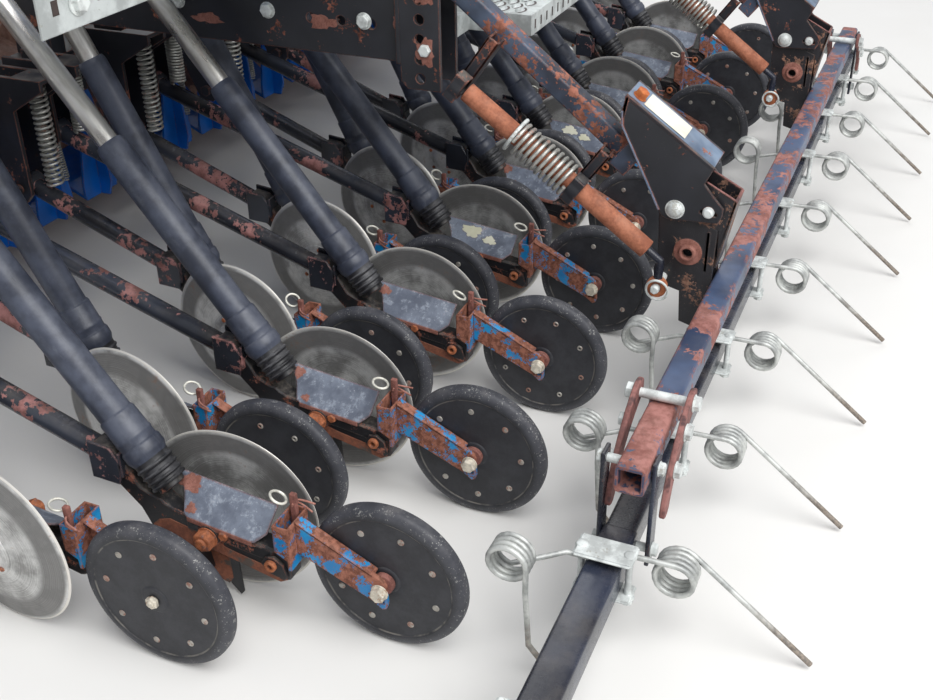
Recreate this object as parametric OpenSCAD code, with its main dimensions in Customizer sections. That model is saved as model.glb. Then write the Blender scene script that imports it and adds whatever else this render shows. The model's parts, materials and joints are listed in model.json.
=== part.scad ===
// Seed drill, three metres wide, nineteen rows, with disc coulters, press wheels and a following tine harrow.
// Millimetres. +X is the right side of the machine, +Y is the way it travels, +Z is up.
// Lengths along Y are counted forward from the axle line of the rear press wheels,
// and place() moves the whole machine so that the origin is under its middle.

/* [Rows] */
// distance between neighbouring rows
row_gap = 157.9; // [150:0.1:170]
// how far the front coulters stand ahead of the rear coulters
row_step = 272; // [255:1:300]

/* [Press wheels] */
// outside diameter of a press wheel
wheel_d = 236; // [220:1:250]
// width of its tyre
wheel_w = 28; // [24:1:40]
// how far the middle of the tyre stands off the row line
wheel_off = -2; // [-4:1:4]
// diameter of its axle bolt
axle_d = 16; // [12:1:20]

/* [Discs] */
// diameter of a coulter disc
disc_d = 276; // [260:1:280]
// distance from the wheel axle forward to the disc axle
disc_ahead = 262; // [260:1:275]
// distance from the row line to the rim of the disc
rim_x = 15; // [8:1:18]
// how deep the disc is dished
dish = 18; // [10:1:24]
// thickness of the disc steel
disc_t = 4; // [3:0.5:6]
// angle of the disc to the way of travel
disc_toe = 5; // [3:0.5:7]
// height of the disc edge over the floor
disc_lift = 2; // [0:1:10]
// diameter of the disc axle
disc_axle_d = 24; // [20:1:30]

/* [Coulter] */
// thickness of the coulter beam
beam_t = 30; // [24:1:34]
// height of the coulter beam
beam_h = 46; // [40:1:54]
// distance from the row line to the inner face of the coulter beam
beam_off = 15; // [13:1:18]
// diameter of the drawbar
drawbar_d = 34; // [28:1:40]
// height of the drawbar pivot of the rear row
pivot_z_rear = 419; // [405:1:425]
// height of the drawbar pivot of the front row
pivot_z_front = 345; // [335:1:360]
// distance of both pivots ahead of the rear wheel axle
pivot_y = 1010; // [990:1:1020]
// diameter of the pivot bolt
pivot_d = 16; // [12:1:20]

/* [Wheel arm] */
// thickness of the wheel arm
arm_t = 8; // [6:1:10]
// gap between wheel and arm
arm_gap = 10; // [8:0.5:12]

/* [Seed tubes] */
// outside diameter of the plastic seed tube
tube_d = 50; // [46:1:54]
// outside diameter of the steel seed tube
pipe_d = 36; // [32:1:40]
// wall of the steel seed tube
pipe_wall = 2; // [1.5:0.5:3]
// distance of the outlets ahead of the rear wheel axle
outlet_y = 948; // [935:1:960]
// height of the middle of the ball at the top of a seed tube
outlet_z = 945; // [930:1:960]

/* [Roller] */
// diameter over the teeth of the packer roller
roller_d = 500; // [480:1:520]
// diameter of the roller drum
drum_d = 390; // [370:1:400]
// distance of the roller axle ahead of the rear wheel axle
roller_y = 1560; // [1550:1:1580]
// thickness of a toothed ring
ring_t = 22; // [16:1:26]
// diameter of the roller axle
roller_axle_d = 60; // [50:1:70]

/* [Frame] */
// thickness of the side plates
side_t = 15; // [12:1:18]
// side of the square coulter beam of the frame
cross_w = 90; // [80:1:96]
// height of the long channels
channel_h = 120; // [100:1:120]
// distance from the middle of the machine to each harrow link
link_x = 530; // [500:1:550]

/* [Hopper] */
// width of the hopper
hopper_w = 2800; // [2600:10:2860]
// height of the hopper rim over the floor
hopper_top = 1600; // [1550:5:1700]
// wall of the hopper
hopper_wall = 4; // [3:0.5:6]

/* [Walkway] */
// depth of the walkway
walk_d = 340; // [300:5:350]
// height of the walkway over the floor
walk_z = 940; // [930:1:945]
// depth of the middle step
step_d = 250; // [220:5:260]

/* [Harrow] */
// side of the square harrow tube
harrow_w = 50; // [45:1:55]
// outer width of the upper harrow tube
upper_w = 42; // [36:1:50]
// wall of the harrow tubes
harrow_wall = 5; // [3:0.5:6]
// diameter of the tine wire
wire_d = 9; // [7:0.5:10]
// middle radius of the tine coils
coil_r = 30; // [26:1:34]

/* [Hidden] */
$fn = 48;
rows = 19;
slip = 0.08;
clear = 5;
seat = 0.3;
wheel_r = wheel_d / 2;
disc_r = disc_d / 2;
disc_z = disc_r + disc_lift;
half_w = (rows + 1) / 2 * row_gap - row_gap / 2;
plate_x = half_w + ring_t / 2 + clear;
outer_x = plate_x + side_t;
wheel_in = wheel_off - wheel_w / 2;
wheel_out = wheel_off + wheel_w / 2;
arm_x = wheel_in - arm_gap - arm_t;
beam_x = -(beam_off + beam_t);
body_x = beam_x + beam_t / 2;
cross_y = 1130;
cross_z = 480;
front_y = 1600;
front_z = 760;
front_w = 120;
scraper_y = 1276;
scraper_z = 378;
scraper_w = 60;
channel_z = 602;
channel_w = 40;
post_y = 225;
post_w = 75;
walk_y = 300;
flange_h = 75;
step_y = 107;
step_z = 672;
step_w = 880;
step_flange = 36;
floor_z = 1010;
hopper_neck = 1330;
hopper_rear = 840;
hopper_front = 1480;
lid_z = hopper_top + 2;
boot_y = 332;
boot_z = 203;
boot_x = -30;
meter_y = 908;
meter_d = 80;
meter_z = 965;
swing_y = -201;
swing_z = 412;
ring_y = -188;
ring_z = 279;
harrow_y = -293;
harrow_z = 266;
ear_x = 957;
tube_end = 1128;
bar_y = -275;
bar_z = 125;
tip_y = -563;
hitch_y = 1880;
mid_y = (tip_y + hitch_y) / 2;
tine_off = -50;
tine_w = 100;
axle_end = (rows - 1) / 2 * row_gap - tine_off + tine_w + wire_d / 2;
link_a = [0, -118, 478];
link_b = [0, 268, 780];
strut_x = -70;
strut_end = [strut_x, -166, 345];
strut_top = [strut_x, 190, 600];
strut_dir = (strut_top - strut_end) / norm(strut_top - strut_end);

function row_x(k) = (k - (rows - 1) / 2) * row_gap;
function ahead(k) = k % 2 == 1 ? 0 : row_step;
function unit(v) = v / norm(v);

// moves the machine so that its middle is over the origin
module place() {
    translate([0, -mid_y, 0]) children();
}

// puts a coulter piece in row k; the front row is the mirror image of the rear row
module in_row(k) {
    translate([row_x(k), ahead(k), 0]) mirror([k % 2 == 1 ? 0 : 1, 0, 0]) children();
}

// puts a piece in every row
module all_rows() {
    for (k = [0 : rows - 1]) in_row(k) children();
}

// extrudes an outline drawn in Y and Z from x0 to x1
module slab(x0, x1) {
    translate([x0, 0, 0]) rotate([90, 0, 90]) linear_extrude(x1 - x0) children();
}

// stands a piece drawn along +Z on the line from p to q
module aim(p, q) {
    d = q - p;
    translate(p) rotate([0, acos(d[2] / norm(d)), atan2(d[1], d[0])]) children();
}

// a round bar from p to q
module rod(p, q, r) {
    aim(p, q) cylinder(h = norm(q - p), r = r);
}

// a round bar along X
module pin(x0, x1, y, z, r, sides = 0) {
    translate([x0, y, z]) rotate([0, 90, 0]) cylinder(h = x1 - x0, r = r, $fn = sides > 0 ? sides : $fn);
}

// a square bar along X with its middle at y, z
module beam(x0, x1, y, z, w, h) {
    translate([x0, y - w / 2, z - h / 2]) cube([x1 - x0, w, h]);
}

// a hollow square tube along X
module box_tube(x0, x1, y, z, w, wall) {
    difference() {
        beam(x0, x1, y, z, w, w);
        beam(x0 - 1, x1 + 1, y, z, w - 2 * wall, w - 2 * wall);
    }
}

// one point of a wire wound about an X axis at y, z
function turn(x, y, z, r, a) = [x, y + r * cos(a), z + r * sin(a)];

// wire swept along a list of points
module wire(p, r, sides = 5) {
    n = len(p);
    t = [for (i = [0 : n - 1]) unit(p[min(i + 1, n - 1)] - p[max(i - 1, 0)])];
    s = [for (i = [0 : n - 1]) unit(cross(t[i], abs(t[i][0]) > 0.9 ? [0, 0, 1] : [1, 0, 0]))];
    u = [for (i = [0 : n - 1]) cross(t[i], s[i])];
    ring = [for (i = [0 : n - 1]) for (j = [0 : sides - 1])
        p[i] + r * (cos(j * 360 / sides) * s[i] + sin(j * 360 / sides) * u[i])];
    skin = [for (i = [0 : n - 2]) for (j = [0 : sides - 1]) for (h = [0, 1]) let (k = (j + 1) % sides)
        h == 0 ? [i * sides + j, i * sides + k, (i + 1) * sides + k]
            : [i * sides + j, (i + 1) * sides + k, (i + 1) * sides + j]];
    head = [for (j = [1 : sides - 2]) [0, j + 1, j]];
    tail = [for (j = [1 : sides - 2]) [(n - 1) * sides, (n - 1) * sides + j, (n - 1) * sides + j + 1]];
    polyhedron(ring, concat(skin, head, tail), convexity = 8);
}

// frame: side plates, long channels, front beam and three point headstock
module side_plate(x) {
    slab(x, x + side_t) difference() {
        polygon([[roller_y - 500, 420], [roller_y - 500, 560], [front_y - 180, front_z + 100],
            [front_y + 100, front_z + 100], [front_y + 100, front_z - 120], [roller_y + 80, 180],
            [roller_y - 80, 180], [roller_y - 120, 330], [roller_y - 260, 330], [roller_y - 360, 400]]);
        translate([roller_y, roller_d / 2]) circle(d = roller_axle_d + 1);
    }
}

module bearing(x) {
    difference() {
        pin(x, x + 30, roller_y, roller_d / 2, 62);
        pin(x - 1, x + 31, roller_y, roller_d / 2, roller_axle_d / 2 + 0.5);
    }
}

module channel(s) {
    x = s * (link_x + 5);
    y0 = post_y + post_w + 8 + seat;
    difference() {
        translate([x - channel_w / 2, y0, channel_z])
            cube([channel_w, front_y - front_w / 2 - seat - y0, channel_h]);
        translate([x - s * 6 - channel_w / 2, y0 - 1, channel_z + 6])
            cube([channel_w, front_y - front_w / 2 - 6 - y0, channel_h - 12]);
        for (y = [y0 + 52 : 60 : y0 + 232])
            pin(x - channel_w, x + channel_w, y, channel_z + channel_h / 2, 9, 24);
    }
    translate([x - channel_w / 2, cross_y - cross_w / 2, cross_z + cross_w / 2 + seat])
        cube([channel_w, cross_w, channel_z - cross_z - cross_w / 2 - 2 * seat]);
    // pair of posts
    for (o = [-38, 30]) difference() {
        slab(s * link_x + o, s * link_x + o + 8) polygon([[post_y, 560], [post_y + post_w - 12, 560],
            [post_y + post_w, 572], [post_y + post_w, walk_z - 3 - seat], [post_y, walk_z - flange_h - 3]]);
        for (z = [580 : 34 : 820])
            pin(s * link_x + o - 1, s * link_x + o + 9, post_y + post_w / 2, z, 9, 24);
    }
    translate([s * link_x - 38, post_y + post_w + seat, channel_z]) cube([76, 8 - seat, channel_h]);
}

// plate that stands on the front beam and holds the hopper
module hopper_stand(x) {
    rear = front_y - front_w / 2 - seat;
    top = front_z + front_w / 2 + seat;
    slope = (hopper_neck - floor_z) / (hopper_front - meter_y - meter_d);
    y0 = meter_y + meter_d + 40;
    y1 = hopper_front - 80;
    slab(x - 5, x + 5) polygon([[rear, channel_z + channel_h + seat], [rear, top], [front_y + front_w / 2, top],
        [front_y + front_w / 2, top + 30], [y1, floor_z + slope * (y1 - meter_y - meter_d) - 1],
        [y0, floor_z + slope * (y0 - meter_y - meter_d) - 1], [y0, floor_z - 50], [y0 + 270, floor_z - 50]]);
}

module main_frame() {
    face = front_y + front_w / 2 + seat;
    beam(-plate_x + seat, plate_x - seat, front_y, front_z, front_w, front_w);
    for (s = [-1, 1]) {
        side_plate(s > 0 ? plate_x : -outer_x);
        bearing(s > 0 ? outer_x + seat : -outer_x - seat - 30);
        channel(s);
        for (x = [link_x, hopper_w / 2 - 100]) hopper_stand(s * x);
        // lower hitch arms
        for (o = [-45, 33]) difference() {
            slab(s * 420 + o, s * 420 + o + 12) polygon([[face, front_z - 40], [face, front_z + 40],
                [hitch_y - 30, 620], [hitch_y, 580], [hitch_y, 530], [hitch_y - 40, 510], [hitch_y - 90, 530]]);
            pin(s * 420 + o - 1, s * 420 + o + 13, hitch_y - 45, 560, 14.25);
        }
        // mast
        slab(s * 60 - 8, s * 60 + 8) difference() {
            polygon([[face, front_z - 60], [face, front_z + 60], [face + 60, 1160], [face + 140, 1160],
                [face + 150, 1080], [face + 120, front_z + 60], [face + 120, front_z - 60]]);
            translate([front_y + 165, 1110]) circle(r = 12.75);
        }
    }
    for (v = [[face + 40, front_z - 40], [face + 70, front_z + 200]])
        translate([-52 + seat, v[0], v[1]]) cube([104 - 2 * seat, 40, 60]);
}

// frame beam that carries the coulters on hanging cheeks
module hanger(pz) {
    x = body_x;
    rear = cross_y - cross_w / 2 - seat;
    for (o = [-30, 22]) slab(x + o, x + o + 8)
        polygon([[pivot_y - 26, pz - 10], [pivot_y - 10, pz - 28], [pivot_y + 24, pz - 24],
            [rear, cross_z - 45], [rear, 565], [pivot_y - 100, 565], [pivot_y - 100, 545],
            [pivot_y - 26, 500]]);
    translate([x - 22, pivot_y - 100, 557]) cube([44, 70, 8]);
    pin(x - 36, x + 36, pivot_y, pz, pivot_d / 2);
    for (o = [-44, 36]) pin(x + o, x + o + 8, pivot_y, pz, 13, 6);
}

module coulter_beam() {
    beam(-plate_x + seat, plate_x - seat, cross_y, cross_z, cross_w, cross_w);
    for (k = [0 : rows - 1]) translate([row_x(k), 0, 0]) mirror([k % 2 == 1 ? 0 : 1, 0, 0])
        hanger(k % 2 == 1 ? pivot_z_rear : pivot_z_front);
}

// scraper beam with a folded holder and a blade for each gap of the roller
module scraper() {
    foot = roller_y - drum_d / 2 - clear - 4;
    translate([0, scraper_y - scraper_w / 2, 0]) rotate([90, 0, 0]) linear_extrude(6)
        polygon([[-20, 390], [20, 390], [24, 340], [58, 150], [58, 120], [-58, 120], [-58, 150], [-24, 340]]);
    slab(-55, 55) polygon([[scraper_y - 36, 120], [foot - 60, 146], [foot, 200], [foot, 194],
        [foot - 55, 138], [scraper_y - 36, 112]]);
    slab(-3, 3) polygon([[scraper_y - 36, 112], [scraper_y - 36, 330], [scraper_y - 60, 280],
        [scraper_y - 70, 150], [scraper_y - 60, 112]]);
}

module scrapers() {
    beam(-plate_x + seat, plate_x - seat, scraper_y, scraper_z, scraper_w, scraper_w);
    for (k = [0 : rows - 1]) translate([row_x(k), -seat, 0]) scraper();
}

// a tension spring drawn as a ribbed bar
module ribbed(h, r, n) {
    rotate_extrude($fn = 16) polygon(concat([[0, 0]],
        [for (i = [0 : n - 1]) for (v = [[r * 0.72, i], [r, i + 0.5]]) [v[0], v[1] * h / n]],
        [[r * 0.72, h], [0, h]]));
}

module scraper_springs() {
    for (k = [0 : rows - 1]) translate([row_x(k) + 34, scraper_y - scraper_w / 2 - 6 - 12, 190])
        rotate([0, -6, 0]) ribbed(120, 11, 10);
}

// toothed packer roller
module toothed_ring() {
    n = 18;
    polygon([for (i = [0 : n - 1]) for (v = [[roller_d / 2 - 34, 0], [roller_d / 2, 6], [roller_d / 2, 11],
        [roller_d / 2 - 34, 14]]) [v[0] * cos(i * 360 / n + v[1]), v[0] * sin(i * 360 / n + v[1])]]);
}

module roller() {
    difference() {
        pin(-half_w, half_w, roller_y, roller_d / 2, drum_d / 2, 96);
        pin(-half_w - 1, half_w + 1, roller_y, roller_d / 2, drum_d / 2 - 10, 96);
    }
    for (x = [-half_w + 20, -8, half_w - 36]) pin(x, x + 16, roller_y, roller_d / 2, drum_d / 2 - 2, 96);
    pin(-axle_end, axle_end, roller_y, roller_d / 2, roller_axle_d / 2);
    for (i = [0 : rows]) translate([(i - rows / 2) * row_gap - ring_t / 2, roller_y, roller_d / 2])
        rotate([90, 0, 90]) linear_extrude(ring_t) difference() {
            toothed_ring();
            circle(r = drum_d / 2 - 5);
        }
}

// coulter: drawbar, bracket, beam, furrow plate, tube socket and disc axle
module coulter(k) {
    eye = [body_x, pivot_y - ahead(k), k % 2 == 1 ? pivot_z_rear : pivot_z_front];
    difference() {
        union() {
            rod([body_x, 430, 224], eye, drawbar_d / 2);
            pin(body_x - 21, body_x + 21, eye[1], eye[2], 20);
        }
        pin(body_x - 22, body_x + 22, eye[1], eye[2], pivot_d / 2 + slip);
    }
    slab(beam_x, -beam_off) polygon([[352, 179], [376, 190], [400, 228], [415, 246], [448, 250], [448, 196],
        [412, 184], [380, 152], [352, 92], [318, 60], [284, 48], [292, 96], [290, 118], [150, 88], [134, 96],
        [134, 131], [150, 142], [300, 163], [322, 166], [336, 172], [342, 178]]);
    // furrow plate with a flap behind it
    slab(-beam_off - 3, -beam_off + 2) polygon([[340, 118], [345, 78], [320, 36], [264, 21], [257, 34],
        [259, 98], [300, 128]]);
    slab(-beam_off - 2, -beam_off + 1) polygon([[262, 96], [243, 92], [240, 14], [246, 6], [262, 24]]);
    rod(along(k, -8), along(k, 12), tube_d / 2 - 4);
    axle();
    // rear bolt and small bolt
    pin(beam_x - 10, beam_x, 159, 117, 11, 6);
    pin(beam_x - 8, beam_x, 232, 138, 9, 6);
}

module at_disc() {
    translate([0, disc_ahead, disc_z]) rotate([0, 0, disc_toe]) children();
}

module axle() {
    at_disc() {
        rotate([0, 90, 0]) translate([0, 0, -beam_off - 3])
            cylinder(h = beam_off + rim_x + 13, d = disc_axle_d);
        translate([beam_x - 12, 0, 0]) rotate([0, 90, 0]) rotate([0, 0, 30]) cylinder(h = 14, r = 17, $fn = 6);
        translate([beam_x - 26, 0, 0]) rotate([0, 90, 0]) cylinder(h = 16, r = 12);
    }
}

module coulters() {
    for (k = [0 : rows - 1]) in_row(k) coulter(k);
}

module pressure_springs() {
    for (k = [0 : rows - 1]) {
        pz = k % 2 == 1 ? pivot_z_rear : pivot_z_front;
        y0 = pivot_y - 62;
        m = (pz - 224) / (pivot_y - ahead(k) - 430);
        z0 = pz - 62 * m + drawbar_d / 2 * sqrt(1 + m * m) + 21 * m + seat;
        translate([row_x(k) + (k % 2 == 1 ? 1 : -1) * body_x, y0, z0]) ribbed(557 - z0 - seat, 21, 7);
    }
}

// folded plate over the coulter beam
module shield() {
    intersection() {
        multmatrix([[1, 0, 0, 0], [0, 1, 0, 0], [0, 0.12, 1, 163], [0, 0, 0, 1]])
            translate([0, 400, 0]) rotate([90, 0, 0]) linear_extrude(300)
                polygon([[-1, 4], [-beam_off - beam_t - 6, -34], [-beam_off - beam_t - 6, -38], [-1, 0]]);
        slab(-80, 20) polygon([[336, 260], [170, 260], [177, 100], [303, 100], [314, 168]]);
    }
}

module shields() {
    all_rows() shield();
}

// press wheel arm with its socket and axle bolt
module wheel_arm() {
    slab(arm_x, arm_x + arm_t) polygon([[126, 194], [10, 138], [-8, 120], [-10, 86], [-2, 80], [12, 91],
        [126, 140]]);
    multmatrix([[1, 0, 0, 0], [0, 1, 0, 0], [0, 0.483, 1, 133.2], [0, 0, 0, 1]])
        translate([arm_x, 10, -4]) cube([18, 116, 4]);
    difference() {
        slab(beam_x - 8, 2) polygon([[126, 120], [126, 196], [152, 196], [152, 147], [132, 136], [132, 118]]);
        slab(beam_x - 4, -2) polygon([[130, 150], [130, 200], [148, 200], [148, 150]]);
    }
    slab(-12, -4) polygon([[136, 150], [136, 222], [146, 222], [146, 150]]);
    pin(arm_x, wheel_out + 12, 0, wheel_r, axle_d / 2);
    pin(arm_x - 11, arm_x, 0, wheel_r, 13, 6);
    pin(arm_x + arm_t, wheel_in - 0.6, 0, wheel_r, 15);
    pin(wheel_out + 1.5, wheel_out + 10, 0, wheel_r, 13, 6);
}

module wheel_arms() {
    all_rows() wheel_arm();
}

// seed tubes: a plastic lower tube with a ribbed boot, and a steel upper tube that slides in it
function tube_top(k) = [0, outlet_y - ahead(k), outlet_z];
function tube_foot() = [boot_x, boot_y, boot_z];
function along(k, s) = tube_foot() + s * unit(tube_top(k) - tube_foot());

module tube_lower(k) {
    r = tube_d / 2;
    hole = pipe_d / 2 + slip;
    socket = r - 4 + slip;
    aim(along(k, 0), along(k, 1)) rotate_extrude() polygon([[socket, 0], [r + 4, 0], [r + 4, 16], [r + 2, 18],
        [r + 2, 24], [r + 5, 26], [r + 5, 40], [r + 3, 42], [r + 3, 52], [r + 6, 54], [r + 5, 66], [r + 3, 70],
        [r + 3, 120], [r, 122], [r, 446], [r - 3, 456], [hole, 456], [hole, 58], [socket, 58]]);
}

module tubes_lower() {
    for (k = [0 : rows - 1]) in_row(k) tube_lower(k);
}

module tube_upper(k) {
    l = norm(tube_top(k) - tube_foot());
    difference() {
        union() {
            rod(along(k, 380), along(k, l), pipe_d / 2);
            translate(along(k, l)) sphere(r = pipe_d / 2 + 6);
        }
        rod(along(k, 379), along(k, l + 40), pipe_d / 2 - pipe_wall);
    }
}

module tubes_upper() {
    for (k = [0 : rows - 1]) in_row(k) tube_upper(k);
}

// metering case under the hopper with one outlet cup for each row
module metering() {
    reach = row_x(rows - 1) + 39;
    difference() {
        union() {
            beam(-reach, reach, meter_y + meter_d / 2, (meter_z + floor_z) / 2, meter_d, floor_z - meter_z);
            for (k = [0 : rows - 1]) translate([row_x(k), outlet_y, outlet_z + 1])
                cylinder(h = meter_z + 4 - outlet_z, d = 56);
            pin(-reach - 30, -reach, meter_y + meter_d / 2, 985, 40);
        }
        for (k = [0 : rows - 1]) translate([row_x(k), outlet_y, outlet_z]) {
            cylinder(h = pipe_d / 2 + 7, r = pipe_d / 2 + 6 + slip);
            cylinder(h = floor_z - outlet_z + 20, r = 20);
        }
    }
}

// hopper of seated sheets with a sloping floor, open on top
module hopper() {
    half = hopper_w / 2 - hopper_wall - seat;
    back = hopper_neck - 40;
    rear = hopper_rear + hopper_wall;
    front = hopper_front - hopper_wall;
    // two ends
    for (x = [-hopper_w / 2, hopper_w / 2 - hopper_wall]) slab(x, x + hopper_wall)
        polygon([[meter_y, floor_z], [meter_y + meter_d, floor_z], [hopper_front, hopper_neck],
            [hopper_front, hopper_top], [hopper_rear, hopper_top], [hopper_rear, back]]);
    // upright sheets
    translate([-half, hopper_rear, back + seat]) cube([2 * half, hopper_wall, hopper_top - back - seat]);
    translate([-half, front, hopper_neck + seat])
        cube([2 * half, hopper_wall, hopper_top - hopper_neck - seat]);
    // sloping sheets
    slab(-half, half) polygon([[hopper_rear, back], [rear, back], [meter_y + 4, floor_z + hopper_wall + seat],
        [meter_y - 1, floor_z + hopper_wall + seat]]);
    slab(-half, half) polygon([[hopper_front, hopper_neck], [front - 3, hopper_neck],
        [meter_y + meter_d - 1, floor_z + hopper_wall + seat],
        [meter_y + meter_d + 6, floor_z + hopper_wall + seat]]);
    // floor with an outlet for each row
    difference() {
        translate([-half, meter_y, floor_z]) cube([2 * half, meter_d, hopper_wall]);
        for (k = [0 : rows - 1]) if (abs(row_x(k)) < hopper_w / 2 - 40)
            translate([row_x(k), outlet_y, floor_z - 1]) cylinder(h = 20, r = 20);
    }
    // hinge knuckles, kept clear of the lid
    for (s = [-1, 1]) {
        pin(s * 900 - 40, s * 900 + 40, hopper_front + 14, hopper_top - 6, 8);
        translate([s * 900 - 40, hopper_front + seat, hopper_top - 16]) cube([80, 10, 12]);
    }
}

module hopper_lid() {
    difference() {
        slab(-hopper_w / 2 - 8, hopper_w / 2 + 8) polygon([[hopper_rear - 14, hopper_top - 30],
            [hopper_rear - 8, hopper_top + 12], [hopper_rear + 300, hopper_top + 50],
            [hopper_front + 8, hopper_top + 12], [hopper_front + 8, hopper_top + 2],
            [hopper_rear - 8, hopper_top + 2]]);
        slab(-hopper_w / 2 + 10, hopper_w / 2 - 10) polygon([[hopper_rear + 6, hopper_top + 1],
            [hopper_rear + 6, hopper_top + 10], [hopper_rear + 300, hopper_top + 47],
            [hopper_front - 6, hopper_top + 10], [hopper_front - 6, hopper_top + 1]]);
    }
}

// walkway behind the hopper and the lower middle step
module walkway() {
    w = hopper_w / 2;
    difference() {
        translate([-w, walk_y, walk_z - flange_h]) cube([2 * w, walk_d, flange_h]);
        translate([-w - 1, walk_y + 3, walk_z - flange_h - 1]) cube([2 * w + 2, walk_d - 6, flange_h - 2]);
        for (x = [-w + 45 : 90 : w - 40]) translate([x, walk_y - 1, walk_z - 40]) cube([14, 8, 20]);
    }
    for (s = [-1, 1]) {
        x = s * (8.5 * row_gap);
        translate([x - 5, walk_y + walk_d, walk_z - flange_h + 5]) cube([10, 30, 60]);
        slab(x - 5, x + 5) polygon([[walk_y + walk_d + 20, walk_z - 20], [walk_y + walk_d + 20, walk_z - 70],
            [walk_y + walk_d + 200, meter_z], [meter_y, meter_z + 2], [meter_y, floor_z],
            [walk_y + walk_d + 200, floor_z - 4]]);
    }
    difference() {
        translate([-step_w / 2, step_y, step_z - step_flange]) cube([step_w, step_d, step_flange]);
        translate([-step_w / 2 + 3, step_y + 3, step_z - step_flange - 1])
            cube([step_w - 6, step_d - 6, step_flange - 2]);
    }
    for (s = [-1, 1]) translate([s > 0 ? step_w / 2 : -link_x + 38, post_y, step_z - step_flange])
        cube([link_x - 38 - step_w / 2, post_w, step_flange]);
}

// link arms of the harrow with the upper halves of its carriers
module square_rod(p, q, w) {
    d = q - p;
    translate(p) rotate([atan2(d[2], d[1]), 0, 0]) translate([-w / 2, 0, -w / 2]) cube([w, norm(d), w]);
}

module strut_bar(s, reach) {
    c = strut_end + s * strut_dir;
    a = atan2(strut_dir[2], strut_dir[1]);
    difference() {
        union() {
            translate(c) rotate([a, 0, 0]) translate([-24, -11, -24]) cube([48, 22, 48]);
            translate(c) rotate([a, 0, 0]) translate([0, -11, -10]) cube([60, 22, reach]);
        }
        rod(c - 40 * strut_dir, c + 40 * strut_dir, 20);
    }
}

module harrow_link() {
    difference() {
        square_rod(link_a, link_b, 40);
        square_rod(link_a - [0, 8, 6], link_b + [0, 8, 6], 32);
    }
    translate(link_a) rotate([atan2(link_b[2] - link_a[2], link_b[1] - link_a[1]), 0, 0])
        translate([-34, -6, -26]) cube([68, 34, 52]);
    for (o = [-40, 34]) slab(o, o + 6) difference() {
        polygon([[-106, 598], [-259, 493], [-246, 463], [-281, 424], [-274, 397], [-189, 392], [-172, 406],
            [-100, 545]]);
        translate([swing_y, swing_z]) circle(r = 10.3);
    }
    slab(-40, 40) polygon([[-106, 598], [-259, 493], [-256, 488], [-104, 592]]);
    slab(-40, 40) polygon([[-110, 592], [-102, 548], [-98, 552], [-104, 596]]);
    strut_bar(160, 84);
    strut_bar(420, 104);
}

module harrow_links() {
    for (s = [-1, 1]) translate([s * link_x, 0, 0]) {
        harrow_link();
        // pins that hold the top of the link between the posts
        pin(-30, 30, post_y + post_w / 2 - 2, 776, 9);
    }
}

// harrow frame: lower carrier plates, upper tube, curved ears, straps and tine bar
module along_y(x, z, y0, y1, r) {
    translate([x, y1, z]) rotate([90, 0, 0]) cylinder(h = y1 - y0, r = r);
}

// one side's ears on their cross bolt, and the straps from the tube down to the tine bar
module hanger_pair(s, out) {
    top = harrow_z + upper_w / 2 + 9.3;
    rear = harrow_y - upper_w / 2 - 14;
    front = harrow_y + upper_w / 2 + 14;
    for (y = [rear, front + 8]) translate([s * ear_x, y, 0]) rotate([90, 0, 0]) linear_extrude(8)
        mirror([s > 0 ? 0 : 1, 0])
            polygon([[-20, 306], [-12, 314], [8, 316], [32, 305], [70, 282], [104, 250], [128, 206],
                [132, 186], [120, 180], [106, 186], [92, 214], [66, 244], [30, 266], [-14, 284]]);
    along_y(s * ear_x, top, rear - 12, front + 20, 9);
    x = s * (ear_x + out);
    for (y = [harrow_y - upper_w / 2 - 2, bar_y + harrow_w / 2 + 6]) translate([x - 15, y - 6, 104])
        cube([30, 6, 176]);
    along_y(x, harrow_z, harrow_y - upper_w / 2 - 16, bar_y + harrow_w / 2 + 12, 7);
    along_y(x, bar_z, harrow_y - upper_w / 2 - 16, bar_y + harrow_w / 2 + 12, 7);
}

module harrow_beam() {
    box_tube(-tube_end, tube_end, harrow_y, harrow_z, upper_w, harrow_wall);
    box_tube(-1510, 1480, bar_y, bar_z, harrow_w, harrow_wall);
    for (s = [-1, 1]) translate([s * link_x, 0, 0]) {
        for (o = [-28, 22]) slab(o, o + 6) difference() {
            polygon([[-240, 392], [-236, 428], [-212, 446], [-186, 442], [-170, 424], [-176, 314], [-170, 290],
                [-172, 266], [-218, 255], [-222, 196], [-258, 186], [harrow_y + upper_w / 2, 240],
                [harrow_y + upper_w / 2, 292], [-272, 306], [-274, 380]]);
            translate([-227, 332]) circle(r = 9);
        }
        slab(-28, 28) polygon([[-262, 300], [-262, 374], [-256, 374], [-256, 300]]);
        pin(-50, 50, swing_y, swing_z, 10);
        for (o = [-56, 40]) pin(o, o + 16, swing_y, swing_z, 17, 6);
        pin(-86, -28, ring_y, ring_z, 8);
    }
    hanger_pair(-1, 128);
    hanger_pair(1, 150);
}

// one clamp for each double tine
module tine_clamps() {
    z = bar_z + harrow_w / 2 + wire_d + 0.4;
    for (i = [0 : 9]) translate([(i - 4.5) * 2 * row_gap + tine_off, bar_y, z]) {
        translate([-24, -42, 0]) cube([48, 84, 7]);
        for (y = [-34, 34]) translate([0, y, -harrow_w - wire_d - 20])
            cylinder(h = harrow_w + wire_d + 24, r = 5);
        translate([-20, -42, -harrow_w - wire_d - 8]) cube([40, 84, 6]);
    }
}

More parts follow.
